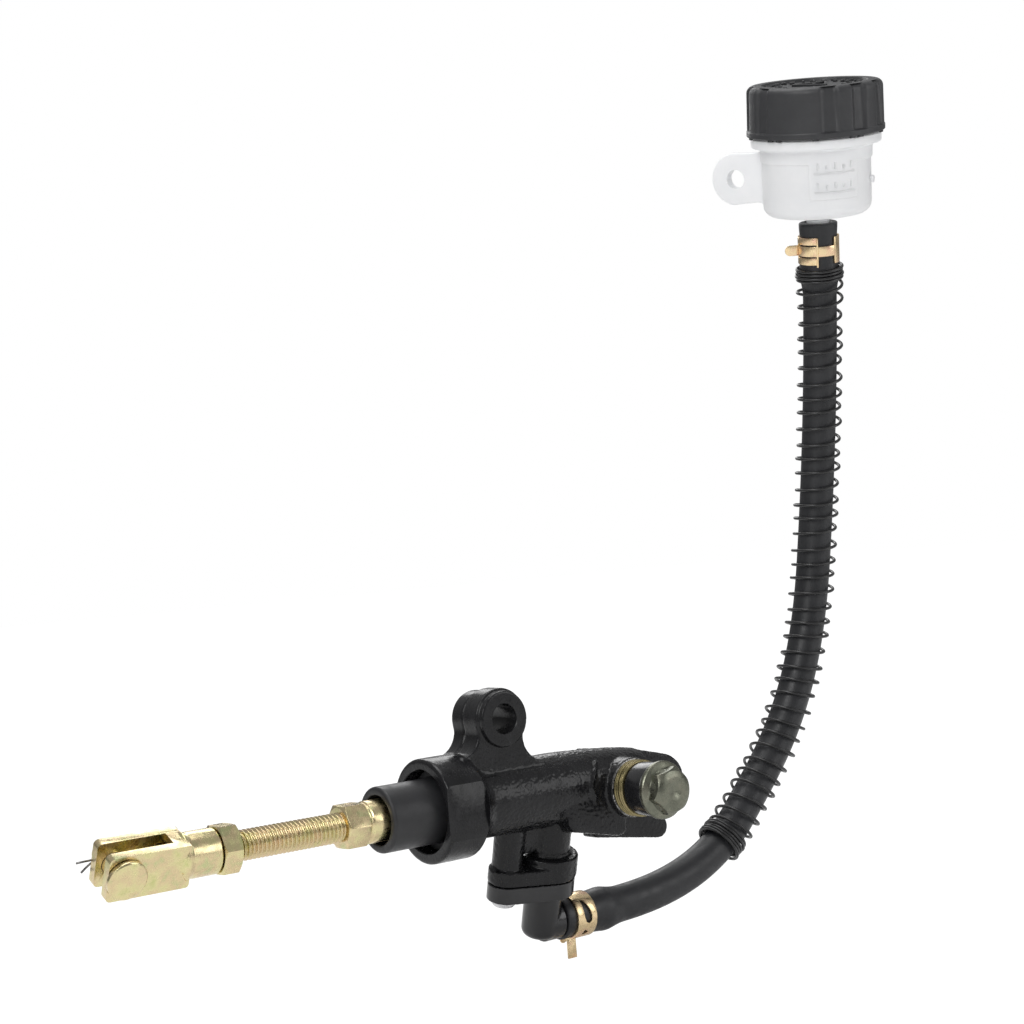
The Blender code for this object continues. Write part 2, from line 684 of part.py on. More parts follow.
def inlet_elbow():
    """Spigot up into the casting, flange with a screw ear, nipple along X."""
    elbow = turned(
        "inlet_elbow",
        [
            (0, -44.0), (2.6, -43.2), (2.6, -22.6), (4.3, -22.6), (4.6, -22.9), (4.6, -23.5),
            (3.4, -23.5), (3.4, -25.3), (4.6, -25.3), (4.6, -26.3), (5.6, -26.3),
            (5.6, -43.0), (5.0, -45.2), (3.4, -46.5), (0, -46.8),
        ],
        inlet_point(0), -DOWN, steps=24,
    )
    flange_outline = hull_of_circles((0, 0), PAD_R - 0.2, (EAR_X, 0), EAR_R - 0.1)
    flange = flat("elbow_flange", flange_outline, PAD_BOTTOM + 0.3, FLANGE_BOTTOM,
                  inlet_point(0), DOWN, X)
    round_off(flange, 0.6)
    cut(flange, cylinder("flange_bore_cutter", 4.0, 30, inlet_point(20), DOWN, sides=20))
    nipple = turned(
        "elbow_nipple",
        [
            (0, 19.5), (3.2, 19.5), (3.7, 17.6), (3.4, 17.5), (3.4, 6.2), (4.9, 5.8),
            (5.1, 5.4), (5.1, 3.4), (0, 3.4),
        ],
        OUTLET, X, helper=True, steps=20,
    )
    join(elbow, flange, nipple)
    nipple_bore = cylinder("nipple_bore_cutter", 2.1, 22, OUTLET, X, sides=12)
    ear_hole = cylinder("ear_hole_cutter", 2.7, 12, inlet_point(24, EAR_X), DOWN, sides=16)
    cut(elbow, nipple_bore, ear_hole)
    finish(elbow, "gloss")


def elbow_o_ring():
    section = arc(4.2, -24.4, 0.52, 90, -270, 7)[:-1]
    finish(turned("elbow_o_ring", section, inlet_point(0), -DOWN, steps=20, closed=True),
           "rubber")


def elbow_screw():
    """Screw up through the ear, with a cross recess."""
    seat = inlet_point(SCREW_SEAT, EAR_X)
    screw = turned(
        "elbow_screw",
        [
            (0, 17.7), (1.9, 17.7), (2.15, 17.4), (2.15, 0), (4.2, 0), (4.2, -1.6),
            (3.6, -2.5), (0, -2.9),
        ],
        seat, -DOWN, steps=20,
    )
    recesses = [
        box(f"screw_recess_{letter}", (-x, -y, -4), (x, y, -1.4), seat, turn_to(-DOWN))
        for letter, x, y in (("a", 2.6, 0.5), ("b", 0.5, 2.6))
    ]
    cut(screw, *recesses)
    finish(screw, "steel")


# --------------------------------------------------------------------- hose
HOSE_START = OUTLET + X * 6.6


def hose_centre_line():
    """From the elbow up to the reservoir, straight at both nipples."""
    low, high = HOSE_START + X * 14, RESERVOIR_FOOT - RESERVOIR_AXIS * 17
    lower_knot, upper_knot = Vector((128.8, 11.1, -20.4)), Vector((167.8, 6.84, 56.9))
    climb = math.radians(45.7)
    lower_way = Vector((math.cos(climb), 0, math.sin(climb)))
    upper_way = Vector((0.12, -0.08, 0.99)).normalized()
    points = (
        [HOSE_START]
        + bezier(low, low + X * 20, lower_knot - lower_way * 26, lower_knot)
        + bezier(lower_knot, lower_knot + lower_way * 22, upper_knot - upper_way * 47, upper_knot)
        + bezier(upper_knot, upper_knot + upper_way * 34, high - RESERVOIR_AXIS * 26, high)
        + [high, RESERVOIR_FOOT]
    )
    return np.array([tuple(point) for point in points])


HOSE_LINE = hose_centre_line()
LINE_LENGTHS = np.concatenate(
    [[0], np.cumsum(np.linalg.norm(np.diff(HOSE_LINE, axis=0), axis=1))]
)
HOSE_LENGTH = float(LINE_LENGTHS[-1])


def sample(rows, station):
    """The vector at a distance along the hose, from one row for each line point."""
    return Vector([float(np.interp(station, LINE_LENGTHS, column)) for column in rows.T])


def hose_stations():
    """Distances along the hose, closer together near its ends."""
    station, stations = 0.0, []
    while station < HOSE_LENGTH - 1e-6:
        stations.append(station)
        near_end = station < 20 or HOSE_LENGTH - station < 22
        station += 5.0 if near_end else 10.0
    if HOSE_LENGTH - stations[-1] < 2.0:
        stations.pop()
    return stations + [HOSE_LENGTH]


def swell(station):
    """The hose stands proud where it is stretched over a nipple."""
    to_end = min(station, HOSE_LENGTH - station)
    return 1.0 + HOSE_SWELL * min(max((SWELL_LENGTH - to_end) / SWELL_FADE, 0), 1)


def hose():
    stations = hose_stations()
    line = [sample(HOSE_LINE, station) for station in stations]
    tube = tube_along("hose", line, HOSE_R, 3, scale=[swell(station) for station in stations])
    bore_line = [HOSE_START - X * 3] + line + [RESERVOIR_FOOT + RESERVOIR_AXIS * 3]
    cut(tube, tube_along("hose_bore_cutter", bore_line, HOSE_BORE, 2, helper=True))
    finish(tube, "rubber", 60)


def hose_guard_spring():
    """A helix round the hose, with closed turns at both ends."""
    points_per_turn = 7
    start, end = GUARD_START, HOSE_LENGTH - GUARD_END
    middle = (end - start) - GUARD_CLOSED_PITCH * sum(GUARD_CLOSED)
    middle_turns = round(middle / GUARD_PITCH)
    # a frame carried along the line without twist
    tangents = np.gradient(HOSE_LINE, axis=0)
    tangents /= np.linalg.norm(tangents, axis=1)[:, None]
    normal = Y
    normals = []
    for tangent in map(Vector, tangents):
        normal = (normal - tangent * normal.dot(tangent)).normalized()
        normals.append(tuple(normal))
    normals = np.array(normals)
    points = []
    for i in range((middle_turns + sum(GUARD_CLOSED)) * points_per_turn + 1):
        turn = i / points_per_turn
        station = coil_station(turn, start, end, GUARD_CLOSED, middle_turns, GUARD_CLOSED_PITCH)
        tangent = sample(tangents, station).normalized()
        normal = sample(normals, station)
        normal = (normal - tangent * normal.dot(tangent)).normalized()
        angle = 2 * math.pi * turn
        spoke = normal * math.cos(angle) + tangent.cross(normal) * math.sin(angle)
        points.append(sample(HOSE_LINE, station) + spoke * GUARD_R)
    finish(tube_along("hose_guard_spring", points, GUARD_WIRE), "guard", 60)


# ------------------------------------------------------------- hose clamps
# Finger tabs: low and high along the hose, turn in degrees, outer reach
CLAMP_TABS = [(-1.6, 1.6, 0, 11.8), (1.2, 4.4, 38, 10.3)]


def clamp(name, at, along, tab_way):
    """A spring band with two finger tabs that stand out side by side."""
    band = turned(name, [(7.2, 4.6), (7.2, -4.6), (6.55, -4.6), (6.55, 4.6)],
                  at, along, steps=24, closed=True)
    out = (tab_way - along * tab_way.dot(along)).normalized()
    tabs = []
    for i, (low, high, turn, reach) in enumerate(CLAMP_TABS):
        frame = turn_to(along, Matrix.Rotation(math.radians(turn), 4, along) @ out)
        tab = box(f"{name}_tab_{i}", (6.7, -0.4, low), (reach, 0.4, high), at, frame)
        round_off(tab, 0.25)
        tabs.append(tab)
    join(band, *tabs)
    finish(band, "clamp")


def hose_clamps():
    clamp("lower_hose_clamp", HOSE_START + X * 8.6, X, -Z)
    clamp("upper_hose_clamp", RESERVOIR_FOOT - RESERVOIR_AXIS * 9.6, RESERVOIR_AXIS,
          Vector((-0.80, 0.60, 0)))


# --------------------------------------------------------------- reservoir
def square_to_axis(way):
    """The unit vector nearest to way that is square to the reservoir's axis."""
    return (way - RESERVOIR_AXIS * way.dot(RESERVOIR_AXIS)).normalized()


TAB_WAY = square_to_axis(Vector((-0.35, 0.917, 0.175)).normalized())


def reservoir():
    """Pot with a foot nipple, a mounting tab and a raised level panel."""
    pot = turned(
        "reservoir",
        [
            # outside, from the rim down to the nipple
            (18.6, 38.0), (18.6, 28.4), (20.6, 28.2), (20.7, 28.0), (20.7, 25.4), (20.4, 25.1),
            (17.8, 24.6), (17.8, 22.6), (RESERVOIR_R, 22.4), (RESERVOIR_R, 6.6), (16.6, 4.6),
            (14.8, 3.3), (12.5, 2.8), (4.6, 2.2), (3.7, 2.0), (3.7, -15.0), (3.3, -16.0),
            # inside, back up to the rim
            (2.6, -16.0), (2.6, 4.0), (12.2, 4.8), (14.2, 5.4), (15.4, 7.4), (15.4, 24.0),
            (16.4, 26.0), (16.4, 38.0),
        ],
        RESERVOIR_FOOT, RESERVOIR_AXIS, steps=26, closed=True,
    )
    tab_normal = TAB_WAY.cross(RESERVOIR_AXIS).normalized()
    tab_centre = RESERVOIR_FOOT + TAB_WAY * TAB_REACH + RESERVOIR_AXIS * TAB_HEIGHT
    tab_outline = (
        [(16.2, TAB_HEIGHT - 7.0), (22.0, TAB_HEIGHT - TAB_R + 0.2)]
        + arc(TAB_REACH, TAB_HEIGHT, TAB_R, -100, 100, 12)
        + [(22.0, TAB_HEIGHT + TAB_R - 0.2), (16.2, TAB_HEIGHT + 8.4)]
    )
    # the outline's second axis is the reservoir's own axis
    tab = flat("reservoir_tab", tab_outline, -TAB_THICKNESS / 2, TAB_THICKNESS / 2,
               RESERVOIR_FOOT, tab_normal, TAB_WAY)
    round_off(tab, 0.4)
    tab_pad = cylinder("tab_pad", 7.2, TAB_THICKNESS / 2 + 0.5, tab_centre, tab_normal, sides=24)
    panel_way = square_to_axis(Vector((-0.491, -0.886, 0)))
    panel = box("level_panel", (15.9, -8.0, 9.6), (RESERVOIR_R + 0.45, 8.0, 23.6),
                RESERVOIR_FOOT, turn_to(RESERVOIR_AXIS, panel_way))
    join(pot, tab, tab_pad, panel)
    cut(pot, cylinder("tab_hole_cutter", 3.1, 16, tab_centre - tab_normal * 8, tab_normal,
                      sides=16))
    finish(pot, "white")


def reservoir_cap():
    cap = turned(
        "reservoir_cap",
        [
            (0, 43.6), (16.4, 43.6), (16.7, CAP_END), (20.2, CAP_END), (21.3, 43.7),
            (21.6, 42.4), (21.6, 30.6), (CAP_R, 30.2), (CAP_R, 29.0), (21.5, CAP_START),
            (19.3, CAP_START), (19.3, 41.5), (0, 41.5),
        ],
        RESERVOIR_FOOT, RESERVOIR_AXIS, steps=32,
    )
    # three grip scoops, then a plain stretch, three times round
    first_way = Vector((-0.706, -0.635, -0.314))
    grooves = []
    for i in range(9):
        turn = 120 * (i // 3) + (12.5, 40.0, 69.0)[i % 3]
        way = Matrix.Rotation(math.radians(turn), 4, RESERVOIR_AXIS) @ first_way
        start = RESERVOIR_FOOT + way * 23.6 + RESERVOIR_AXIS * 31.0
        grooves.append(cylinder(f"cap_groove_{i}", 2.6, 16, start, RESERVOIR_AXIS, sides=8))
    cut(cap, *grooves)
    finish(cap, "cap")


def diaphragm_plate():
    """A disc under the cap, with a vent hole."""
    plate = turned(
        "diaphragm_plate",
        [(0, 41.0), (18.2, 41.0), (18.2, 39.8), (14.0, 39.8), (13.6, 39.4), (0, 39.4)],
        RESERVOIR_FOOT, RESERVOIR_AXIS, steps=20,
    )
    vent_at = RESERVOIR_FOOT + RESERVOIR_AXIS * 37.5 + TAB_WAY * 6
    cut(plate, cylinder("plate_vent_cutter", 1.0, 6, vent_at, RESERVOIR_AXIS, sides=10))
    finish(plate, "white")


def reservoir_diaphragm():
    diaphragm = turned(
        "reservoir_diaphragm",
        [
            # upper skin, from the middle out to the rim
            (0, 35.0), (10.1, 35.0), (11.6, 34.0), (12.8, 29.6), (13.4, 29.2), (13.9, 30.0),
            (14.3, 38.6), (14.6, 39.1), (15.0, 39.3), (18.2, 39.3),
            # lower skin, back to the middle
            (18.2, 38.3), (15.9, 38.3), (15.4, 37.6), (14.9, 29.0), (13.4, 27.8),
            (12.0, 29.0), (11.0, 33.0), (9.5, 34.0), (0, 34.0),
        ],
        RESERVOIR_FOOT, RESERVOIR_AXIS, steps=20,
    )
    finish(diaphragm, "rubber")


def hose_flex_axis():
    """The reservoir group turns about the hose's bend, so it hangs under an empty there."""
    flex = bpy.data.objects.new("hose_flex_axis", None)
    parts.objects.link(flex)
    flex.parent = datum
    flex.location = FLEX_AT
    for name in ("reservoir", "upper_hose_clamp", "reservoir_diaphragm", "diaphragm_plate",
                 "reservoir_cap"):
        member = bpy.data.objects[name]
        member.parent = flex
        member.location -= FLEX_AT


def to_metres():
    for thing in bpy.data.objects:
        thing.location *= METRE
    for mesh in bpy.data.meshes:
        mesh.transform(Matrix.Scale(METRE, 4))


for build in (
    cylinder_body, bore_rings, circlip, piston, return_spring,
    push_rod, clevis_lock_nut, clevis, clevis_pin, cotter_pin,
    banjo_bolt, banjo_rings, inlet_elbow, elbow_o_ring, elbow_screw,
    hose, hose_guard_spring, hose_clamps,
    reservoir, reservoir_cap, diaphragm_plate, reservoir_diaphragm,
    hose_flex_axis, to_metres,
):
    build()
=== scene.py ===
# A hydraulic master cylinder with push rod and clevis, a banjo outlet, and a hose that
# runs from a bottom elbow up to a separate reservoir with a cap.
#
# Shapes are in millimetres in the casting's frame: X along the bore from its mouth,
# Y to the back (the frame side), Z up; front is -Y.  show() moves each finished piece
# to the row frame in metres.
import json
import math

import bmesh
import bpy
import numpy as np
from mathutils import Matrix, Vector, noise

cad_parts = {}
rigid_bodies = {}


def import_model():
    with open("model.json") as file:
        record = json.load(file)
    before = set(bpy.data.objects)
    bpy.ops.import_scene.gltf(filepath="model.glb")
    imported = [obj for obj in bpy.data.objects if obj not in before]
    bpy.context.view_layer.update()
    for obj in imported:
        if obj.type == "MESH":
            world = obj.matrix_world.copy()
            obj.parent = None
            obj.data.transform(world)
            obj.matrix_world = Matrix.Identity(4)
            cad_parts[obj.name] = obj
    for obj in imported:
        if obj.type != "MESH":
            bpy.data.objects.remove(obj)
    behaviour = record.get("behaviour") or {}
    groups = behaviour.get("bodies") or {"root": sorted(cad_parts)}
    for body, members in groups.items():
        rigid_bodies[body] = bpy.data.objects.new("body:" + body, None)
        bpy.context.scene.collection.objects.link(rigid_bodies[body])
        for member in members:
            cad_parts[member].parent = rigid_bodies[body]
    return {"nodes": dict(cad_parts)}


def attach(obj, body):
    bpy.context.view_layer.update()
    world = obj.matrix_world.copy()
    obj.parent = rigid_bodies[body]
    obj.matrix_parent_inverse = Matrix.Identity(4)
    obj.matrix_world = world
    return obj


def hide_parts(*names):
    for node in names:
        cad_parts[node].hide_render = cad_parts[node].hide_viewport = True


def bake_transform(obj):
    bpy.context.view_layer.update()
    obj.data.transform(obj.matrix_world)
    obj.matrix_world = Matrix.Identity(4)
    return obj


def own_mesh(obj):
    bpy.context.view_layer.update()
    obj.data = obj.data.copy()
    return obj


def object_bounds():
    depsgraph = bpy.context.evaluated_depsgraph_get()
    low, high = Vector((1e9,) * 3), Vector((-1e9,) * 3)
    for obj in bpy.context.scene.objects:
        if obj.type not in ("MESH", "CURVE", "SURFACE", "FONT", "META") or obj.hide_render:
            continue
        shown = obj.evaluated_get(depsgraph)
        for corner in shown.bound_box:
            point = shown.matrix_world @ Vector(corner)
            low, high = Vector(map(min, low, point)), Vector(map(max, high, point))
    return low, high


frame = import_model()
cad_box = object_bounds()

ORIGIN = Vector((24.4, 7.2, 16.8))  # the row frame's zero
TO_ROW = Matrix.Scale(0.001, 4) @ Matrix.Translation(-ORIGIN)
X, Y, Z = Vector((1, 0, 0)), Vector((0, 1, 0)), Vector((0, 0, 1))
ZERO = Vector((0, 0, 0))
CAMERA_AT = Vector((-271.1, -410.0, 68.4))

# casting: collar at the mouth, tube, and the steps of the recess inside
COLLAR_R, COLLAR_L, COLLAR_FLAT = 14.5, 12.5, 12.4
TUBE_R, TUBE_END = 10.25, 77.5
RECESS_R, RECESS_L, STOP_R, STOP_L = 11.5, 6.5, 8.3, 11.9
# upper eye, and the tail eye at the far end of the tube
EYE_X, EYE_Z, EYE_R, EYE_HOLE_R = 24.4, 22.8, 8.6, 4.2
EYE_FRONT, EYE_BACK = -8.0, 7.2
TAIL_X, TAIL_Z, TAIL_R, TAIL_FRONT = 88.0, -4.5, 8.8, 0.5
# inlet on the underside, with a screw ear towards the mouth
INLET_X, INLET_TILT, PAD_BOTTOM, PAD_R, EAR_R, EAR_X = 45.6, 15.8, 26.0, 8.9, 5.2, -14.6
INLET_AT = Vector((INLET_X, 0, 0))
INLET_WAY = Vector((0, math.sin(math.radians(INLET_TILT)), -math.cos(math.radians(INLET_TILT))))
# outlet port on the front
PORT_X, PORT_Z, PORT_R, PORT_FACE = 66.2, -2.1, 8.7, -12.0
# push rod and clevis
BALL_X, ROD_R, ROD_END = 17.0, 4.0, -73.0
PIN_X, PIN_R, CLEVIS_ROLL = -90.0, 3.0, 25.0
FORK_EAR_T, SLOT_W, CLEVIS_H = 2.6, 4.7, 12.0
PIN_WAY = Vector((0, -math.cos(math.radians(CLEVIS_ROLL)), -math.sin(math.radians(CLEVIS_ROLL))))
# hose and its wire guard; the guard's ends are measured from the hose's two ends
OUTLET_S, HOSE_R, HOSE_BORE = 41.7, 5.5, 4.2
OUTLET = INLET_AT + INLET_WAY * OUTLET_S
GUARD_R, GUARD_WIRE, GUARD_PITCH, GUARD_FROM_LOW, GUARD_FROM_HIGH = 6.9, 0.5, 5.0, 68.5, 14.2
# reservoir, cap and mounting tab; heights run along RES_AXIS from RES_FOOT
RES_FOOT = Vector((162.3, -13.3, 167.7))
RES_AXIS = Vector((-0.193, -0.254, 0.948)).normalized()
CAP_LOW, CAP_HIGH = 28.6, 44.4
TAB_REACH, TAB_H, TAB_R, TAB_T = 28.0, 14.0, 8.6, 3.0

bench = bpy.data.collections.new("bench")
bpy.context.scene.collection.children.link(bench)


# ==================================================================== placing
def columns(x, y, z):
    """The rotation whose local axes are x, y and z."""
    return Matrix((x, y, z)).transposed().to_4x4()


def square_to(way, axis):
    """The unit part of way that is square to axis."""
    return (way - axis * way.dot(axis)).normalized()


def turn_to(direction, across=None):
    """A rotation with local Z along direction and local X as near across as it can be."""
    z = Vector(direction).normalized()
    x = Vector(across) if across is not None else (X if abs(z.x) < 0.9 else Z)
    x = square_to(x, z)
    return columns(x, z.cross(x), z)


def placed(at, direction=Z, across=X):
    return Matrix.Translation(Vector(at)) @ turn_to(direction, across)


def spin(degrees, axis):
    return Matrix.Rotation(math.radians(degrees), 4, axis)


def to_camera(at, axis):
    """From at towards the camera, square to axis."""
    return square_to(CAMERA_AT - at, axis)


def inlet_point(along, x=0.0):
    return INLET_AT + X * x + INLET_WAY * along


def clamped(value):
    return min(max(value, 0), 1)


SIDE = placed(ZERO, -Y, X)  # outlines are (X, Z) and thickness runs to the front
INLET = placed(INLET_AT, INLET_WAY, X)


# =================================================================== outlines
def fillet(points, corner=None, steps=4, closed=False):
    """Rounds an outline.  Without corner, each point's third column is its radius."""
    count = len(points)
    corners = [p[2] for p in points] if corner is None else [corner] * count
    spots = np.array([p[:2] for p in points], float)
    out = []
    for i, p in enumerate(spots):
        if (not closed and i in (0, count - 1)) or corners[i] <= 0:
            out.append(tuple(p))
            continue
        a, b = spots[i - 1] - p, spots[(i + 1) % count] - p
        len_a, len_b = np.linalg.norm(a), np.linalg.norm(b)
        a, b = a / len_a, b / len_b
        angle = math.acos(max(-1, min(1, float(a @ b))))
        if angle > math.radians(172):
            out.append(tuple(p))
            continue
        back = min(corners[i] / math.tan(angle / 2), 0.45 * len_a, 0.45 * len_b)
        real = back * math.tan(angle / 2)
        centre = p + (a + b) / np.linalg.norm(a + b) * (real / math.sin(angle / 2))
        start = math.atan2(*(p + a * back - centre)[::-1])
        end = math.atan2(*(p + b * back - centre)[::-1])
        sweep = (end - start + math.pi) % (2 * math.pi) - math.pi
        for k in range(steps + 1):
            t = start + sweep * k / steps
            out.append((centre[0] + real * math.cos(t), centre[1] + real * math.sin(t)))
    return out


def arc(cx, cy, r, start, end, count):
    return [(cx + r * math.cos(math.radians(a)), cy + r * math.sin(math.radians(a)))
            for a in np.linspace(start, end, count)]


def hull_of_circles(a, radius_a, b, radius_b, count):
    distance = math.hypot(b[0] - a[0], b[1] - a[1])
    heading = math.degrees(math.atan2(b[1] - a[1], b[0] - a[0]))
    lean = math.degrees(math.acos((radius_a - radius_b) / distance))
    return (arc(*a, radius_a, heading + lean, heading + 360 - lean, count)
            + arc(*b, radius_b, heading - lean, heading + lean, count))


def bezier(p0, p1, p2, p3, count):
    """Points of a cubic curve, without its last one."""
    out = []
    for t in np.linspace(0, 1, count + 1)[:-1]:
        s = 1 - t
        out.append(p0 * s**3 + p1 * 3 * s * s * t + p2 * 3 * s * t * t + p3 * t**3)
    return out


# ============================================================= working solids
def new(mesh, matrix=Matrix.Identity(4)):
    thing = bpy.data.objects.new("w_part", mesh)
    bench.objects.link(thing)
    thing.matrix_world = matrix
    return thing


def mesh_of(verts, faces):
    mesh = bpy.data.meshes.new("part")
    mesh.from_pydata([tuple(v) for v in verts], [], faces)
    mesh.validate()
    bm = bmesh.new()
    bm.from_mesh(mesh)
    bmesh.ops.recalc_face_normals(bm, faces=bm.faces)
    bm.to_mesh(mesh)
    bm.free()
    return mesh


def wall(count, sides, closed=False):
    """Quads that join count rings of sides vertices."""
    faces = []
    for i in range(count - (0 if closed else 1)):
        a, b = i * sides, ((i + 1) % count) * sides
        for k in range(sides):
            j = (k + 1) % sides
            faces.append((a + k, a + j, b + j, b + k))
    return faces


def ends(count, sides):
    return [tuple(range(sides))[::-1], tuple(range((count - 1) * sides, count * sides))]


def lathe(profile, at, direction, segs=96, closed=False, across=None, shape=None):
    """A turned solid from (radius, height) points.  An open profile ends on the axis."""
    verts, rows = [], []
    for radius, height in profile:
        if radius < 1e-6:
            rows.append([len(verts)])
            verts.append((0, 0, height))
            continue
        rows.append(range(len(verts), len(verts) + segs))
        for k in range(segs):
            a = 2 * math.pi * k / segs
            r, h = shape(radius, height, a) if shape else (radius, height)
            verts.append((r * math.cos(a), r * math.sin(a), h))
    faces = []
    for low, high in list(zip(rows, rows[1:])) + ([(rows[-1], rows[0])] if closed else []):
        for k in range(segs):
            j = (k + 1) % segs
            if len(low) == 1:
                faces.append((low[0], high[k], high[j]))
            elif len(high) == 1:
                faces.append((low[k], low[j], high[0]))
            else:
                faces.append((low[k], low[j], high[j], high[k]))
    return new(mesh_of(verts, faces), placed(at, direction, across))


def cylinder(r, length, at, direction, segs=64, edge=0.0):
    profile = [(0, 0), (r, 0), (r, length), (0, length)]
    if edge:
        profile = fillet(profile, edge, 3)
    return lathe(profile, at, direction, segs)


def prism(outline, low, high, matrix=Matrix.Identity(4)):
    """A plate from low to high along local Z, with one outline in local XY."""
    n = len(outline)
    verts = [(u, v, level) for level in (low, high) for u, v in outline]
    return new(mesh_of(verts, ends(2, n) + wall(2, n)), matrix)


def box(low, high, matrix=Matrix.Identity(4)):
    (x0, y0, z0), (x1, y1, z1) = low, high
    return prism([(x0, y0), (x1, y0), (x1, y1), (x0, y1)], z0, z1, matrix)


def hexagon(across_flats, length, matrix):
    r = across_flats / math.sqrt(3)
    corners = [math.pi / 3 * i for i in range(6)]
    return prism([(r * math.cos(a), r * math.sin(a)) for a in corners], 0, length, matrix)


def curved_strip(degrees, radii, heights, steps, matrix):
    """A rectangular bar bent round local Z; degrees start at local X."""
    (start, end), (r0, r1), (z0, z1) = degrees, radii, heights
    verts = []
    for k in range(steps + 1):
        a = math.radians(start + (end - start) * k / steps)
        for r, z in ((r0, z0), (r1, z0), (r1, z1), (r0, z1)):
            verts.append((r * math.cos(a), r * math.sin(a), z))
    return new(mesh_of(verts, wall(steps + 1, 4) + ends(steps + 1, 4)), matrix)


def transport(points):
    """Points, tangents and two normals carried along a line without twist."""
    pts = np.array([tuple(p) for p in points], float)
    tangents = np.gradient(pts, axis=0)
    tangents /= np.linalg.norm(tangents, axis=1)[:, None]
    ref = np.array((0.0, 1.0, 0.0)) if abs(tangents[0][1]) < 0.9 else np.array((1.0, 0.0, 0.0))
    normals = []
    for t in tangents:
        ref = ref - t * (ref @ t)
        ref = ref / np.linalg.norm(ref)
        normals.append(ref)
    normals = np.array(normals)
    return pts, tangents, normals, np.cross(tangents, normals)


def unit_rings(normals, binormals, sides):
    a = np.linspace(0, 2 * math.pi, sides, endpoint=False)[None, :, None]
    return np.cos(a) * normals[:, None, :] + np.sin(a) * binormals[:, None, :]


def swept(points, radius, sides):
    """A round wire along points."""
    pts, _, normals, binormals = transport(points)
    verts = (pts[:, None, :] + unit_rings(normals, binormals, sides) * radius).reshape(-1, 3)
    return new(mesh_of(verts, wall(len(pts), sides) + ends(len(pts), sides)))


def pipe(points, outer, inner, sides, lip=0.35):
    """A hose: outer and inner walls joined by ends rounded over lip.  outer has one radius
    for each point."""
    pts, tangents, normals, binormals = transport(points)
    ring = unit_rings(normals, binormals, sides)
    last = len(pts) - 1
    rows = [  # point index, centre, radius
        (0, pts[0], outer[0] - lip),
        (0, pts[0] + tangents[0] * lip * 0.3, outer[0] - lip * 0.3),
        (0, pts[0] + tangents[0] * lip, outer[0]),
    ]
    rows += [(i, pts[i], outer[i]) for i in range(1, last)]
    rows += [
        (last, pts[-1] - tangents[-1] * lip, outer[-1]),
        (last, pts[-1] - tangents[-1] * lip * 0.3, outer[-1] - lip * 0.3),
        (last, pts[-1], outer[-1] - lip),
    ]
    rows += [(i, pts[i], inner) for i in range(last, -1, -1)]
    verts = np.concatenate([centre + ring[i] * r for i, centre, r in rows])
    return new(mesh_of(verts, wall(len(rows), sides, closed=True)))


# ======================================================== changing and showing
def round_off(thing, width, segments=3, angle=35):
    """Bevels the edges sharper than angle degrees."""
    edge = thing.modifiers.new("edges", "BEVEL")
    edge.width = width
    edge.segments = segments
    edge.limit_method = "ANGLE"
    edge.angle_limit = math.radians(angle)
    edge.use_clamp_overlap = True
    return thing


def combine(thing, operation, others, solver="EXACT"):
    group = bpy.data.collections.new("operands")
    bpy.context.scene.collection.children.link(group)
    for other in others:
        bench.objects.unlink(other)
        group.objects.link(other)
    step = thing.modifiers.new(operation.lower(), "BOOLEAN")
    step.operation = operation
    step.solver = solver
    step.operand_type = "COLLECTION"
    step.collection = group


def baked(thing):
    """The object's evaluated mesh in the casting's frame."""
    bpy.context.view_layer.update()
    graph = bpy.context.evaluated_depsgraph_get()
    mesh = bpy.data.meshes.new_from_object(thing.evaluated_get(graph))
    mesh.transform(thing.matrix_world)
    return mesh


def clear_bench():
    """Removes the working objects, so that later updates stay quick."""
    for old in list(bpy.data.objects):
        if old.name.startswith("w_"):
            bpy.data.objects.remove(old, do_unlink=True)


def merged(*things):
    """One object that holds several meshes."""
    bm = bmesh.new()
    for thing in things:
        bm.from_mesh(baked(thing))
    mesh = bpy.data.meshes.new("merged")
    bm.to_mesh(mesh)
    bm.free()
    return new(mesh)


def skinned(voxel, smooth, *things):
    """Several closed shapes fused into one skin with softened corners."""
    thing = merged(*things)
    remesh = thing.modifiers.new("skin", "REMESH")
    remesh.mode = "VOXEL"
    remesh.voxel_size = voxel
    remesh.adaptivity = 0
    soft = thing.modifiers.new("soft", "SMOOTH")
    soft.factor = 0.5
    soft.iterations = smooth
    mesh = baked(thing)
    clear_bench()
    return new(mesh)


def show(thing, name, body, slot, material, *nodes, sharp=None, mask=None):
    """Turns a working object into a finished piece.  body carries it, nodes are the CAD
    pieces it stands for, and mask gives the "bare" value of each vertex."""
    mesh = baked(thing)
    clear_bench()
    mesh.materials.clear()
    mesh.materials.append(material)
    if mask is not None:
        layer = mesh.attributes.new("bare", "FLOAT", "POINT")
        co = np.zeros(len(mesh.vertices) * 3)
        mesh.vertices.foreach_get("co", co)
        layer.data.foreach_set("value", mask(co.reshape(-1, 3)).astype(np.float32))
    mesh.transform(TO_ROW)
    mesh.shade_smooth()
    if sharp is not None:
        mesh.set_sharp_from_angle(angle=math.radians(sharp))
    mesh.name = name
    piece = bpy.data.objects.new(name, mesh)
    bpy.context.scene.collection.objects.link(piece)
    if body:
        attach(piece, body)
    if nodes:
        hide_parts(*nodes)
    return piece


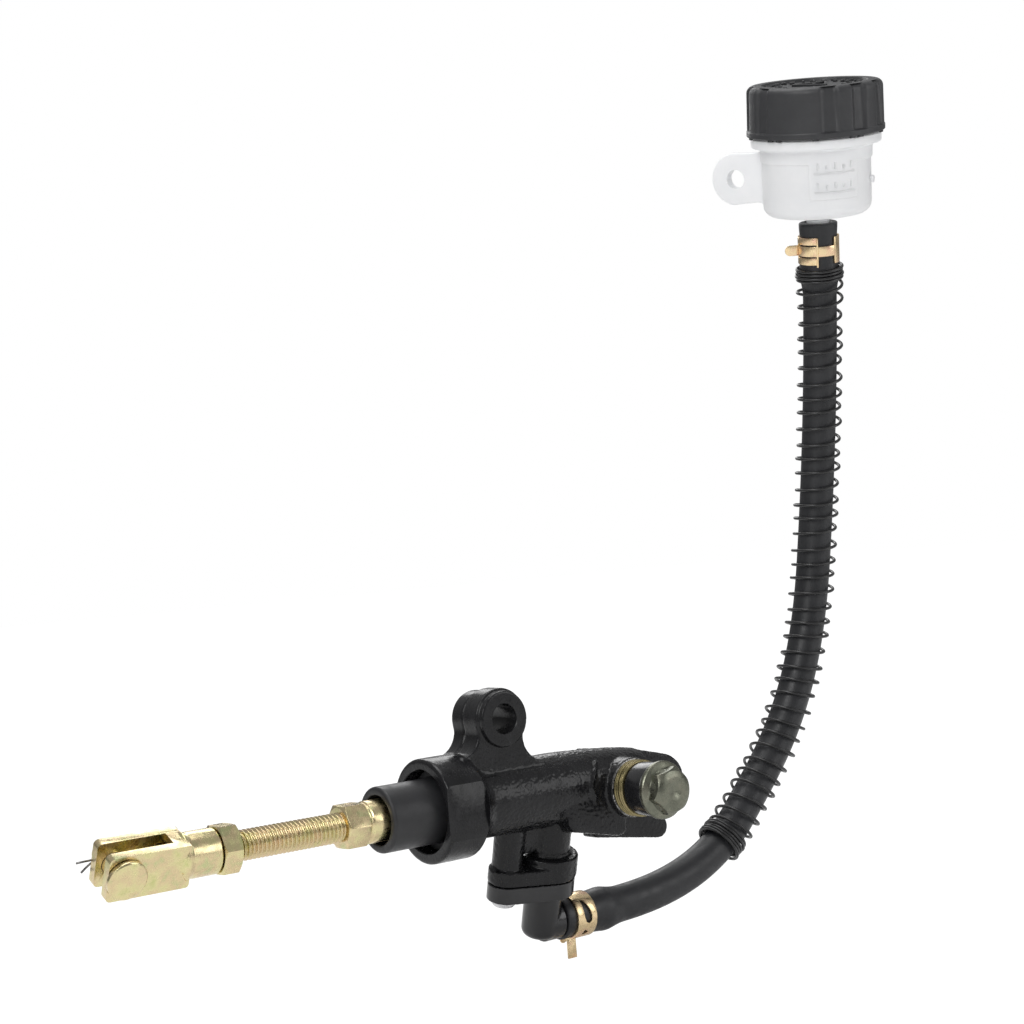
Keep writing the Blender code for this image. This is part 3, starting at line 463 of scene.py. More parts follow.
# ================================================================== materials
class Nodes:
    """Short ways to add nodes to a tree.  An input takes a value or another node's output."""

    def __init__(self, tree):
        self.tree = tree

    def feed(self, socket, value):
        if isinstance(value, bpy.types.NodeSocket):
            self.tree.links.new(value, socket)
        else:
            socket.default_value = (*value, 1) if socket.type == "RGBA" else value

    def add(self, kind, inputs=None, **settings):
        node = self.tree.nodes.new("ShaderNode" + kind)
        for key, value in settings.items():
            setattr(node, key, value)
        for key, value in (inputs or {}).items():
            self.feed(node.inputs[key], value)
        return node

    def noise(self, vector, size, detail):
        inputs = {"Scale": 1.0 / size, "Detail": detail, "Roughness": 0.6, "Vector": vector}
        return self.add("TexNoise", inputs).outputs["Fac"]

    def math(self, operation, a, b):
        return self.add("Math", {0: a, 1: b}, operation=operation).outputs[0]

    def span(self, value, to_min, to_max, from_min=0.35, from_max=0.65):
        return self.add("MapRange", {
            "From Min": from_min, "From Max": from_max,
            "To Min": to_min, "To Max": to_max, "Value": value,
        }).outputs["Result"]

    def mix(self, factor, a, b):
        return self.add("Mix", {0: factor, 6: a, 7: b}, data_type="RGBA",
                        blend_type="MIX").outputs[2]


def patchy_colour(kit, spot, colours, patch):
    ramp = kit.add("ValToRGB")
    stops = ramp.color_ramp.elements
    while len(stops) < len(colours):
        stops.new(0.5)
    for i, colour in enumerate(colours):
        stops[i].position = 0.3 + 0.4 * i / (len(colours) - 1)
        stops[i].color = (*colour, 1)
    kit.feed(ramp.inputs["Fac"], kit.noise(spot, patch, detail=3.0))
    return ramp.outputs["Color"]


def scratched(kit, place, roughness, scratch):
    """Adds fine, slanted streaks to the roughness."""
    squeeze = kit.add("Mapping", {
        "Scale": (6000.0, 500.0, 350.0), "Rotation": (0.3, 0.2, 0.9), "Vector": place})
    streaks = kit.add("TexNoise", {
        "Scale": 1.0, "Detail": 2.0, "Vector": squeeze.outputs["Vector"]}).outputs["Fac"]
    return kit.math("ADD", roughness, kit.span(streaks, 0.0, scratch, 0.55, 0.75))


def add_relief(kit, spot, shader, grain, lumps, coat):
    """Bump from fine grain and broader lumps, each (size, height) in millimetres."""
    height = None
    for (size, tall), detail in ((grain, 3.0), (lumps, 2.0)):
        if tall:
            part = kit.math("MULTIPLY", kit.noise(spot, size, detail), tall)
            height = part if height is None else kit.math("ADD", height, part)
    bump = kit.add("Bump", {"Strength": 1.0, "Distance": 0.001, "Height": height})
    kit.feed(shader.inputs["Normal"], bump.outputs["Normal"])
    if coat:
        kit.feed(shader.inputs["Coat Normal"], bump.outputs["Normal"])


def look(name, colours, rough, grain, patch, lumps=(2.0, 0.0), metallic=0.0, coat=0.0,
         specular=0.5, edge_tint=None, bare=None, subsurface=0.0, stretch=(1, 1, 1),
         scratch=0.0, dust=0.0):
    """A Principled material.

    colours: blended in patches of the size patch, in mm; rough: range of the roughness;
    grain, lumps: (size, height) of the relief; edge_tint: (colour, share) at grazing view;
    bare: metal colour where the "bare" attribute is set; stretch: noise scale on each axis;
    scratch, dust: strength of streaks and of pale specks.
    """
    made = bpy.data.materials.new(name)
    made.use_nodes = True
    kit = Nodes(made.node_tree)
    shader = made.node_tree.nodes["Principled BSDF"]
    place = kit.add("TexCoord").outputs["Object"]
    spot = kit.add("Mapping", {
        "Scale": tuple(1000.0 * s for s in stretch), "Vector": place}).outputs["Vector"]

    colour = patchy_colour(kit, spot, colours, patch)
    if edge_tint:
        tint, share = edge_tint
        facing = kit.add("LayerWeight", {"Blend": 0.35}).outputs["Facing"]
        colour = kit.mix(kit.span(facing, 0.0, share, 0.0, 1.0), colour, tint)
    roughness = kit.span(kit.noise(spot, patch * 0.35, detail=5.0), *rough)
    if scratch:
        roughness = scratched(kit, place, roughness, scratch)
    if dust:
        specks = kit.noise(spot, 0.5, detail=2.0)
        colour = kit.mix(kit.span(specks, 0.0, dust, 0.62, 0.75), colour, (0.35, 0.34, 0.32))
    if bare:
        flag = kit.add("Attribute", attribute_name="bare").outputs["Fac"]
        worn = kit.noise(spot, 0.8, detail=3.0)
        amount = kit.math("MULTIPLY", flag, kit.span(worn, 0.25, 1.0, 0.35, 0.5))
        colour = kit.mix(amount, colour, bare)
        metallic = kit.math("MULTIPLY", amount, 1.0)
    settings = {
        "Metallic": metallic, "Base Color": colour, "Roughness": roughness,
        "Specular IOR Level": specular, "Coat Weight": coat, "Coat Roughness": 0.12,
    }
    if subsurface:
        settings["Subsurface Weight"] = subsurface
        settings["Subsurface Radius"] = (1.0, 1.0, 1.0)
        settings["Subsurface Scale"] = 0.004
    for key, value in settings.items():
        kit.feed(shader.inputs[key], value)
    add_relief(kit, spot, shader, grain, lumps, coat)
    return made


LOOKS = dict(
    casting=look(
        "black_enamel_casting", rough=(0.16, 0.32), patch=7, grain=(0.45, 0.03),
        colours=[(0.0055, 0.0055, 0.006), (0.008, 0.008, 0.009), (0.012, 0.012, 0.013)],
        lumps=(1.6, 0.06), coat=0.12, specular=0.24, bare=(0.45, 0.44, 0.42),
        stretch=(1.3, 0.9, 0.75)),
    boot=look(
        "moulded_rubber", rough=(0.36, 0.5), patch=6, grain=(0.35, 0.012),
        colours=[(0.016, 0.016, 0.0175), (0.022, 0.022, 0.024)],
        lumps=(3.0, 0.03), specular=0.42),
    hose=look(
        "hose_rubber", rough=(0.34, 0.5), patch=9, grain=(0.25, 0.012),
        colours=[(0.014, 0.0145, 0.0165), (0.021, 0.0215, 0.024)],
        lumps=(4.0, 0.06), specular=0.45, dust=0.04),
    nylon=look(
        "gloss_black_nylon", rough=(0.16, 0.27), patch=5, grain=(0.4, 0.012),
        colours=[(0.008, 0.008, 0.009), (0.013, 0.013, 0.0145)], lumps=(3.0, 0.05), coat=0.2),
    zinc=look(
        "yellow_zinc", rough=(0.17, 0.34), patch=6, grain=(0.22, 0.010), metallic=1.0,
        colours=[(0.56, 0.58, 0.25), (0.72, 0.66, 0.35), (0.70, 0.57, 0.34), (0.54, 0.58, 0.29)],
        lumps=(2.5, 0.03), edge_tint=((0.76, 0.54, 0.38), 0.35), scratch=0.12),
    thread=look(
        "yellow_zinc_thread", rough=(0.2, 0.36), patch=3, grain=(0.2, 0.010), metallic=1.0,
        colours=[(0.55, 0.51, 0.24), (0.64, 0.53, 0.30), (0.64, 0.49, 0.30)],
        edge_tint=((0.72, 0.50, 0.36), 0.4)),
    olive=look(
        "olive_zinc", rough=(0.2, 0.4), patch=4, grain=(0.3, 0.012), metallic=0.9,
        colours=[(0.13, 0.135, 0.105), (0.175, 0.18, 0.14), (0.21, 0.205, 0.16)],
        lumps=(1.8, 0.04), scratch=0.12),
    washer=look(
        "olive_brass", rough=(0.22, 0.42), patch=3, grain=(0.25, 0.012), metallic=0.9,
        colours=[(0.17, 0.145, 0.07), (0.26, 0.22, 0.11), (0.32, 0.26, 0.14)]),
    clamp=look(
        "pale_gold_spring_steel", rough=(0.18, 0.34), patch=4, grain=(0.2, 0.006), metallic=1.0,
        colours=[(0.86, 0.64, 0.37), (0.88, 0.70, 0.42), (0.86, 0.55, 0.38)],
        lumps=(2.0, 0.02), scratch=0.1),
    wire=look(
        "black_wire", rough=(0.28, 0.42), patch=3, grain=(0.2, 0.006),
        colours=[(0.007, 0.007, 0.0075), (0.013, 0.013, 0.014)], coat=0.1),
    white=look(
        "milky_polyethylene", rough=(0.36, 0.5), patch=8, grain=(0.3, 0.008),
        colours=[(0.86, 0.87, 0.885), (0.90, 0.905, 0.915)],
        lumps=(4.0, 0.04), specular=0.4, subsurface=0.35),
    cap=look(
        "dark_grey_plastic", rough=(0.38, 0.52), patch=6, grain=(0.22, 0.018),
        colours=[(0.030, 0.0305, 0.033), (0.037, 0.0375, 0.040)],
        lumps=(3.0, 0.02), specular=0.45),
    bright=look(
        "bright_steel", rough=(0.16, 0.34), patch=2, grain=(0.15, 0.006), metallic=1.0,
        colours=[(0.55, 0.55, 0.56), (0.68, 0.68, 0.69)], scratch=0.15),
    dull=look(
        "dark_spring_steel", rough=(0.25, 0.4), patch=2, grain=(0.15, 0.006), metallic=1.0,
        colours=[(0.10, 0.10, 0.10), (0.22, 0.21, 0.20)]),
    turned=look(
        "turned_aluminium", rough=(0.2, 0.34), patch=3, grain=(0.1, 0.006), metallic=1.0,
        colours=[(0.60, 0.60, 0.61), (0.70, 0.70, 0.71)], stretch=(4, 1, 1)),
)

# ==================================================================== casting
BARREL = [  # radius, distance from the mouth
    (0, TUBE_END), (6.4, TUBE_END), (7.6, TUBE_END - 0.8), (8.3, TUBE_END - 4.5),
    (9.1, 66.0), (9.8, 56.0), (TUBE_R, 46.0), (TUBE_R, COLLAR_L + 5.0),
    (10.9, COLLAR_L + 3.2), (12.6, COLLAR_L + 1.2), (COLLAR_R - 0.5, COLLAR_L),
    (COLLAR_R, COLLAR_L - 0.6), (COLLAR_R, 0.5), (COLLAR_R - 0.5, 0), (0, 0),
]
BORE = [  # radius, distance from the mouth: blind end, stop, ring groove, recess, mouth
    (0, 62), (4.8, 62), (6.35, 61.2), (6.35, STOP_L), (STOP_R, STOP_L), (STOP_R, 10.15),
    (9.3, 10.15), (9.3, 8.4), (STOP_R, 8.4), (STOP_R, RECESS_L), (RECESS_R, RECESS_L),
    (RECESS_R, 0.25), (RECESS_R + 0.25, -0.01), (RECESS_R + 0.25, -4), (0, -4),
]
EYE_WEBS = [  # head radius, flare radii and feet Z (mouth side, far side), then thickness span
    (EYE_R, 6.0, 7.0, 13.6, 9.6, -0.3, 6.3),
    (EYE_R - 0.7, 7.0, 8.0, 13.4, 9.4, -6.5, -1.3),
    (EYE_R - 1.7, 8.0, 9.0, 13.0, 9.0, -2.0, 0.3),
]
WEDGE = (  # X, Z below the far part of the tube
    [(43.4, 4.0), (43.4, -9.0), (44.0, -10.8), (45.4, -12.2), (61.5, -15.6)]
    + arc(62.2, -13.1, 2.5, -80, 0, 8) + [(64.7, 4.0)]
)
TAIL_ARM = (  # X, Z
    [(60.0, 9.4), (80.0, 6.6)] + arc(TAIL_X, TAIL_Z, TAIL_R, 74, -62, 40)
    + [(88.2, -13.4)] + arc(85.2, -17.3, 3.3, 66, -98, 16) + [(60.0, -16.7)]
)
SEAM = [  # X, Y, Z of a raised line down the front of the tube
    (56.0, -7.6, 7.0), (54.2, -9.1, 4.6), (51.6, -10.2, 0.1),
    (53.4, -9.75, -3.4), (50.4, -8.6, -6.6), (46.5, -8.2, -8.4),
]
SEAM_R, SEAM_FROM_AXIS = 0.42, 10.2


def eye_outline(r, left_r, right_r, left_z, right_z):
    """The eye's head with hollow flares running down to collar and tube."""
    def flare(radius, foot):
        z = foot + radius
        return math.sqrt((r + radius) ** 2 - (EYE_Z - z) ** 2), z

    left_x, left_cz = flare(left_r, left_z)
    right_x, right_cz = flare(right_r, right_z)
    left_a = math.degrees(math.atan2(EYE_Z - left_cz, left_x))
    right_a = math.degrees(math.atan2(EYE_Z - right_cz, right_x))
    return (
        [(EYE_X - left_x, 3.0)]
        + arc(EYE_X - left_x, left_cz, left_r, -90, left_a, 16)
        + arc(EYE_X, EYE_Z, r, 180 + left_a, -right_a, 60)[1:-1]
        + arc(EYE_X + right_x, right_cz, right_r, 180 - right_a, 270, 16)
        + [(EYE_X + right_x, 3.0)]
    )


def seam_ridge():
    knots = [Vector(p) for p in SEAM]
    fine = []
    for a, b in zip(knots, knots[1:]):
        for t in np.linspace(0, 1, 9)[:-1]:
            p = a.lerp(b, t)
            r = math.hypot(p.y, p.z)
            if r < 10.6:  # near the tube: waver, and lie on its surface
                p = Vector((p.x + 0.35 * math.sin(p.z * 4.1),
                            p.y * SEAM_FROM_AXIS / r, p.z * SEAM_FROM_AXIS / r))
            fine.append(p)
    return swept(fine, SEAM_R, 10)


def casting_shapes():
    webs = [prism(eye_outline(*flares), low, high, SIDE) for *flares, low, high in EYE_WEBS]
    wedge = round_off(prism(WEDGE, -3.0, 9.4, SIDE), 1.2, 4)
    return [
        lathe(fillet(BARREL, 0.6), ZERO, X, 160),
        *webs,
        # eye boss, on the back
        cylinder(7.6, EYE_BACK - 5.0, (EYE_X, 5.0, EYE_Z), Y, 96),
        # inlet boss, its round foot and the pad with its ear
        cylinder(6.4, 20.5, INLET_AT, INLET_WAY, 96),
        cylinder(PAD_R + 0.15, PAD_BOTTOM - 20.2, inlet_point(19.2), INLET_WAY, 96),
        prism(hull_of_circles((0, 0), PAD_R, (EAR_X, 0), EAR_R, 40), 21.6, PAD_BOTTOM, INLET),
        # pillar above the ear, and its web
        cylinder(4.4, 18.0, inlet_point(5.0, EAR_X), INLET_WAY),
        box((-14.6, -2.6, 6.0), (-3.0, 2.6, 17.5), INLET),
        # outlet boss
        cylinder(PORT_R, -PORT_FACE - 0.02, (PORT_X, 0, PORT_Z), -Y, 96),
        wedge,
        # tail arm and boss
        prism(TAIL_ARM, -6.5, -TAIL_FRONT, SIDE),
        cylinder(7.9, EYE_BACK - 5.0, (TAIL_X, 5.0, TAIL_Z), Y, 96),
        seam_ridge(),
    ]


def casting_cutters():
    eye_hole = [(0, -20), (EYE_HOLE_R, -20), (EYE_HOLE_R, 7.85), (EYE_HOLE_R + 0.15, 8.02),
                (EYE_HOLE_R + 0.15, 12), (0, 12)]
    return [
        lathe(BORE, ZERO, X, 128),
        # flat on the front of the collar
        box((-3, -20, -20), (COLLAR_L + 0.4, -COLLAR_FLAT, 20)),
        lathe(eye_hole, (EYE_X, 0, EYE_Z), -Y),
        # tail eye and outlet holes
        cylinder(EYE_HOLE_R, 24, (TAIL_X, -12, TAIL_Z), Y),
        cylinder(5.3, 16, (PORT_X, PORT_FACE - 4, PORT_Z), Y),
        # outlet face
        box((-14, -8, -14), (14, 0, 14), Matrix.Translation((PORT_X, PORT_FACE, PORT_Z + 4.0))),
        # inlet hole, its seat, and the screw hole in the ear
        cylinder(3.0, 24, inlet_point(9), INLET_WAY, 48),
        cylinder(5.05, 8, inlet_point(22), INLET_WAY),
        cylinder(2.45, 16, inlet_point(13, EAR_X), INLET_WAY, 32),
        # flat faces: inlet pad, then the backs of both eyes
        box((-30, -14, PAD_BOTTOM), (14, 14, PAD_BOTTOM + 4), INLET),
        box((EYE_X - 10, EYE_BACK, 13), (EYE_X + 10, EYE_BACK + 3, 36)),
        box((TAIL_X - 9.5, EYE_BACK, -16), (TAIL_X + 11, EYE_BACK + 3, 8)),
    ]


def cast_roughness(co):
    """Share of the cast relief at each vertex: most on the tube, least on machined faces."""
    r = np.hypot(co[:, 1], co[:, 2])
    share = np.where(r < 12.5, 1.0, 0.7)
    machined = (np.abs(co[:, 1] - EYE_BACK) < 0.6) | (np.abs(co[:, 1] - PORT_FACE) < 0.5)
    share[machined] = 0.1
    share[co[:, 2] > 12.5] = 0.15
    share[(co[:, 0] < COLLAR_L + 1.5) & (r < 16)] = 0.12
    return share


def roughen(mesh, amount, scale, octaves, where):
    """Moves vertices along their normals by a soft noise."""
    count = len(mesh.vertices)
    co, normals = np.zeros(count * 3, np.float32), np.zeros(count * 3, np.float32)
    mesh.vertices.foreach_get("co", co)
    mesh.vertices.foreach_get("normal", normals)
    co, normals = co.reshape(-1, 3), normals.reshape(-1, 3)
    grain = [noise.fractal(p, 0.9, 2.0, octaves) for p in (co / scale).tolist()]
    co += normals * (np.array(grain, np.float32) * amount * where(co))[:, None]
    mesh.vertices.foreach_set("co", co.ravel())
    mesh.update()


def bare_rim(co):
    """Unpainted rim of the outlet face."""
    r = np.hypot(co[:, 0] - PORT_X, co[:, 2] - PORT_Z)
    return ((np.abs(co[:, 1] - PORT_FACE) < 0.15) & (r > 8.2) & (r < 8.9)).astype(float)


def build_casting():
    body = skinned(0.3, 5, *casting_shapes())
    # the eye's front pad is added after the first smoothing, so it stays crisper
    pad = cylinder(7.8, -EYE_FRONT - 5.0, (EYE_X, -5.0, EYE_Z), -Y, 96, edge=0.35)
    body = skinned(0.3, 2, body, pad)
    roughen(body.data, amount=0.11, scale=0.85, octaves=3, where=cast_roughness)
    combine(body, "DIFFERENCE", casting_cutters(), "MANIFOLD")
    show(body, "casting_skin", "cylinder", "casting", LOOKS["casting"], "cylinder_body",
         sharp=38, mask=bare_rim)


build_casting()

# ======================================================================= boot
BOOT = [  # radius, distance from the mouth, corner radius: flange, outer wall, lip, inner wall
    (11.2, 6.0, 0.3), (11.2, 4.2, 0.3), (9.0, 4.2, 0.5), (9.0, 0.0, 0), (9.0, -4.0, 0),
    (9.0, -8.0, 0), (9.0, -15.0, 2.6), (6.75, -15.0, 0.5), (6.75, -12.8, 0.3),
    (7.2, -12.4, 0.3), (7.2, -8.0, 0), (7.2, -4.0, 0), (7.2, 0.0, 0), (7.2, 6.0, 0.2),
]


def build_boot():
    boot = lathe(fillet(BOOT, steps=8, closed=True), ZERO, X, 128, closed=True)
    piece = show(boot, "boot_skin", None, "rubber", LOOKS["boot"], sharp=50)
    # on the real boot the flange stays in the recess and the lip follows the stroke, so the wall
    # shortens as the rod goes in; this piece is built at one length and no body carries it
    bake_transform(piece)
    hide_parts("dust_boot")


build_boot()

# ============================================================ rod and lock nut
BALL_R = 4.0
HEAD_X, THREAD_X = -27.0, -26.6
SHANK = [  # radius, distance from the ball's centre: neck, disc, shank, shoulder
    (2.6, -3.7), (5.5, -3.8), (5.5, -5.0), (3.9, -5.0), (3.9, -29.8), (5.35, -29.8),
    (5.8, -30.2), (5.8, -36.0), (5.45, -36.3), (5.45, -36.8), (5.0, -37.3), (0, -37.3),
]
THREAD_PITCH, THREAD_DEPTH = 1.25, 0.62
NUT_X, NUT_L = -63.7, 5.2


def chamfered_hexagon(across_flats, length, x, face_r, outer_r, chamfer):
    """A hexagon on the bore's line, cut to cones at both ends."""
    body = hexagon(across_flats, length, placed((x, 0, 0), X, Y))
    crown = [
        (0, length + 0.02), (face_r, length + 0.02), (outer_r, length - chamfer),
        (outer_r, chamfer), (face_r, -0.02), (0, -0.02),
    ]
    combine(body, "INTERSECT", [lathe(crown, (x, 0, 0), X)])
    return body


def thread_bar(x0, x1, radius, pitch, depth, sides=48, per_turn=12):
    """A bar with a rounded V thread that fades out at both ends, and a tapered tip at x0."""
    count = int((x1 - x0) / pitch * per_turn)
    angles = np.linspace(0, 2 * math.pi, sides, endpoint=False)
    x, a = np.meshgrid(np.linspace(x0, x1, count + 1), angles, indexing="ij")
    phase = (x / pitch - a / (2 * math.pi)) % 1.0
    wave = np.clip((np.abs(phase * 2 - 1) - 0.08) / 0.78, 0, 1)
    fade = np.clip((x - x0) / (pitch * 1.2), 0, 1) * np.clip((x1 - x) / (pitch * 0.4), 0, 1)
    tip = (1 - np.clip((x - x0) / 1.0, 0, 1)) * (-0.55)
    r = radius - depth + depth * wave * fade + tip
    verts = np.stack([x, r * np.cos(a), r * np.sin(a)], -1).reshape(-1, 3)
    return new(mesh_of(verts, wall(count + 1, sides) + ends(count + 1, sides)))


def build_rod():
    turns = np.linspace(0, math.radians(139), 24)[1:]
    ball = [(0, BALL_R)] + [(BALL_R * math.sin(a), BALL_R * math.cos(a)) for a in turns]
    shank = lathe(ball + fillet(SHANK, 0.18, 3), (BALL_X, 0, 0), X)
    head = chamfered_hexagon(11.2, 7.0, HEAD_X, face_r=5.2, outer_r=6.9, chamfer=0.9)
    round_off(head, 0.16, 2, 20)
    show(merged(shank, head), "push_rod_head", "push_rod", "zinc", LOOKS["zinc"], "push_rod",
         sharp=32)
    show(thread_bar(ROD_END, THREAD_X, ROD_R, THREAD_PITCH, THREAD_DEPTH),
         "push_rod_thread", "push_rod", "zinc", LOOKS["thread"])


def build_nut():
    nut = chamfered_hexagon(12.0, NUT_L, NUT_X, face_r=6.02, outer_r=7.2, chamfer=0.6)
    hole_r = ROD_R + 0.3
    hole = [(0, 10), (5.2, 10), (5.2, 5.3), (hole_r, 4.6), (hole_r, 0.6), (5.2, -0.1),
            (5.2, -4), (0, -4)]
    combine(nut, "DIFFERENCE", [lathe(hole, (NUT_X, 0, 0), X, 64)])
    round_off(nut, 0.16, 2, 20)
    show(nut, "lock_nut_skin", "lock_nut", "zinc", LOOKS["zinc"], "clevis_lock_nut", sharp=32)


build_rod()
build_nut()

# ===================================================================== clevis
CLEVIS_AT = Vector((PIN_X, 0, 0))
CLEVIS = Matrix.Translation(CLEVIS_AT) @ columns(X, -PIN_WAY, X.cross(-PIN_WAY))
FORK_HALF = SLOT_W / 2 + FORK_EAR_T
FORK_H = CLEVIS_H / 2
FORK_L = 17.5  # from the pin to the neck
FORK = [  # along the rod, across it, corner radius
    (-4.6, -FORK_H, 1.3), (FORK_L, -FORK_H, 0.9), (FORK_L, FORK_H, 0.9), (-4.6, FORK_H, 1.3)]
NECK = [  # radius, distance from the fork, corner radius
    (0, 8.5, 0), (5.9, 8.5, 0.45), (5.9, 0.6, 1.2), (6.5, -0.9, 0.3), (4.6, -3.0, 0.3),
    (0, -3.0, 0)]
PIN = [  # radius, distance from the clevis's middle plane
    (0, FORK_HALF + 1.7), (4.75, FORK_HALF + 1.7), (5.2, FORK_HALF + 1.4),
    (5.2, FORK_HALF + 0.3), (PIN_R, FORK_HALF + 0.3), (PIN_R, -FORK_HALF - 3.4),
    (PIN_R - 0.6, -FORK_HALF - 4.0), (0, -FORK_HALF - 4.0),
]
COTTER_AT = CLEVIS_AT + PIN_WAY * (-FORK_HALF - 1.6)
COTTER_WAY = (X * -0.95 - PIN_WAY.cross(X) * 0.30).normalized()
LEG = 0.34  # half the gap between the cotter's two legs
COTTER = [  # along COTTER_WAY, across it: leg, loop round the far end, leg
    (7.0, 1.9), (5.4, 1.0), (4.2, 0.45), (3.0, LEG), (0, LEG), (-3.0, LEG), (-4.0, 0.55),
    (-4.9, 1.15), (-5.9, 1.1), (-6.5, 0.0), (-5.9, -1.1), (-4.9, -1.15), (-4.0, -0.55),
    (-3.0, -LEG), (0, -LEG), (3.0, -LEG), (4.2, -0.5), (5.6, -0.9), (7.6, -1.4),
]


def build_clevis():
    fork = prism(fillet(FORK, closed=True), -FORK_HALF, FORK_HALF, CLEVIS @ spin(90, "X"))
    combine(fork, "UNION", [lathe(fillet(NECK), (PIN_X + FORK_L, 0, 0), X)])
    combine(fork, "DIFFERENCE", [
        # slot, pin hole and threaded hole
        box((-12, -SLOT_W / 2, -12), (13.2, SLOT_W / 2, 12), CLEVIS),
        cylinder(PIN_R + 0.12, 24, CLEVIS_AT - PIN_WAY * 12, PIN_WAY),
        cylinder(ROD_R + 0.3, 20, (PIN_X + 11.0, 0, 0), X),
    ])
    round_off(fork, 0.28, 3, 30)
    show(fork, "clevis_skin", "clevis", "zinc", LOOKS["zinc"], "clevis", sharp=35)


def build_clevis_pin():
    pin = lathe(fillet(PIN, 0.14, 3), CLEVIS_AT, PIN_WAY)
    hole = cylinder(1.05, 12, COTTER_AT - COTTER_WAY * 6, COTTER_WAY, 24)
    combine(pin, "DIFFERENCE", [hole])
    show(pin, "clevis_pin_skin", "clevis_pin", "zinc", LOOKS["zinc"], "clevis_pin", sharp=35)


def build_cotter():
    across = PIN_WAY.cross(COTTER_WAY)
    points = [COTTER_AT + COTTER_WAY * u + across * v for u, v in fillet(COTTER, 1.2)]
    show(swept(points, 0.27, 12), "cotter_skin", "clevis_pin", "steel", LOOKS["dull"],
         "cotter_pin")


build_clevis()
build_clevis_pin()
build_cotter()

# =============================================================== banjo outlet
FLANGE_Y = -23.3
BOLT = [  # radius, distance in front of the flange's seat: boss, flange, shank
    (0, 4.6), (6.0, 4.6), (6.3, 2.4), (7.0, 2.1), (8.0, 1.6), (8.3, 1.2), (8.3, 0.3),
    (8.1, 0), (4.95, 0), (4.95, -18.6), (4.2, -19.4), (0, -19.4),
]
BOLT_CROWN = [  # radius, distance in front of the flange's seat
    (0, 5.85), (1.2, 5.95), (2.0, 6.25), (3.2, 6.35), (4.6, 6.2), (5.7, 5.8), (6.5, 5.0),
    (7.1, 4.1), (7.25, 3.1), (7.25, 0.5), (0, 0.5),
]
SPACER = [(7.4, 23.0), (7.7, 22.6), (7.7, 16.3), (7.4, 15.9), (5.25, 15.9), (5.25, 23.0)]


def build_banjo_bolt():
    bolt = lathe(fillet(BOLT, 0.25, 3), (PORT_X, FLANGE_Y, PORT_Z), -Y, 128)
    head_at = placed((PORT_X, FLANGE_Y - 1.4, PORT_Z), -Y, (0.97, 0, 0.26))
    head = hexagon(12.0, 7.0, head_at)
    crown = lathe(BOLT_CROWN, (PORT_X, FLANGE_Y, PORT_Z), -Y, 128)
    combine(head, "INTERSECT", [crown])
    round_off(head, 0.3, 3, 22)
    show(merged(bolt, head), "banjo_bolt_skin", "cylinder", "olive", LOOKS["olive"],
         "banjo_bolt", sharp=40)


def washer_profile(start, end):
    """Radius and distance in front of the bore's axis, with a groove round the rim."""
    return [
        (7.8, end), (8.2, end - 0.2), (8.2, end - 0.45), (7.85, end - 0.6),
        (7.85, start + 0.6), (8.2, start + 0.45), (8.2, start + 0.2), (7.8, start),
        (5.25, start), (5.25, end),
    ]


def build_ring(name, profile, material, slot, node):
    outline = fillet(profile, 0.12, 2, closed=True)
    thing = lathe(outline, (PORT_X, 0, PORT_Z), -Y, 128, closed=True)
    show(thing, name, "cylinder", slot, material, node, sharp=35)


build_banjo_bolt()
for side, start, end in (("inner", 12.1, 13.7), ("outer", 14.1, 15.6)):
    build_ring(f"washer_{side}_skin", washer_profile(start, end), LOOKS["washer"], "brassy",
               f"banjo_washer_{side}")
build_ring("spacer_skin", SPACER, LOOKS["nylon"], "rubber", "banjo_spacer")

# ====================================================================== elbow
ELBOW_R = 5.6
ELBOW_DOWN = [  # radius, height above the bore's axis along the inlet, corner radius
    (0, -45.5, 0), (ELBOW_R, -45.5, 3.4), (ELBOW_R, -26.0, 0), (0, -26.0, 0)]
NIPPLE = [  # radius, distance along X from the elbow's corner
    (2.1, 19.5), (3.2, 19.5), (3.7, 17.6), (3.4, 17.5), (3.4, 4.0), (2.1, 4.0)]
SCREW = [  # radius, height above the screw's seat
    (0, 17.7), (1.9, 17.7), (2.15, 17.4), (2.15, 0), (3.6, 0), (3.6, -0.8), (3.0, -1.6),
    (0, -1.8)]
SCREW_SEAT = 31.5


def build_elbow():
    elbow = skinned(
        0.22, 4,
        lathe(fillet(ELBOW_DOWN, steps=10), INLET_AT, -INLET_WAY),
        cylinder(ELBOW_R, 5.75, OUTLET, X, 96),
        prism(hull_of_circles((0, 0), PAD_R - 0.2, (EAR_X, 0), EAR_R - 0.1, 40),
              PAD_BOTTOM + 0.3, 31.2, INLET),
    )
    combine(elbow, "DIFFERENCE", [
        # flat top of the flange, and the screw hole in its ear
        box((-30, -14, PAD_BOTTOM - 3), (14, 14, PAD_BOTTOM + 0.3), INLET),
        cylinder(2.7, 12, inlet_point(24, EAR_X), INLET_WAY, 48),
    ], "MANIFOLD")
    nipple = lathe(fillet(NIPPLE, 0.1, 2, closed=True), OUTLET, X, 64, closed=True)
    show(merged(elbow, nipple), "inlet_elbow_skin", "cylinder", "gloss", LOOKS["nylon"],
         "inlet_elbow", sharp=45)


def build_elbow_screw():
    seat = inlet_point(SCREW_SEAT, EAR_X)
    screw = lathe(fillet(SCREW, 0.3, 3), seat, -INLET_WAY, 64)
    combine(screw, "DIFFERENCE", [
        box((-u, -v, -4), (u, v, -0.8), placed(seat, -INLET_WAY))
        for u, v in ((2.1, 0.42), (0.42, 2.1))
    ])
    show(screw, "elbow_screw_skin", "cylinder", "steel", LOOKS["bright"], "elbow_screw", sharp=35)


build_elbow()
build_elbow_screw()

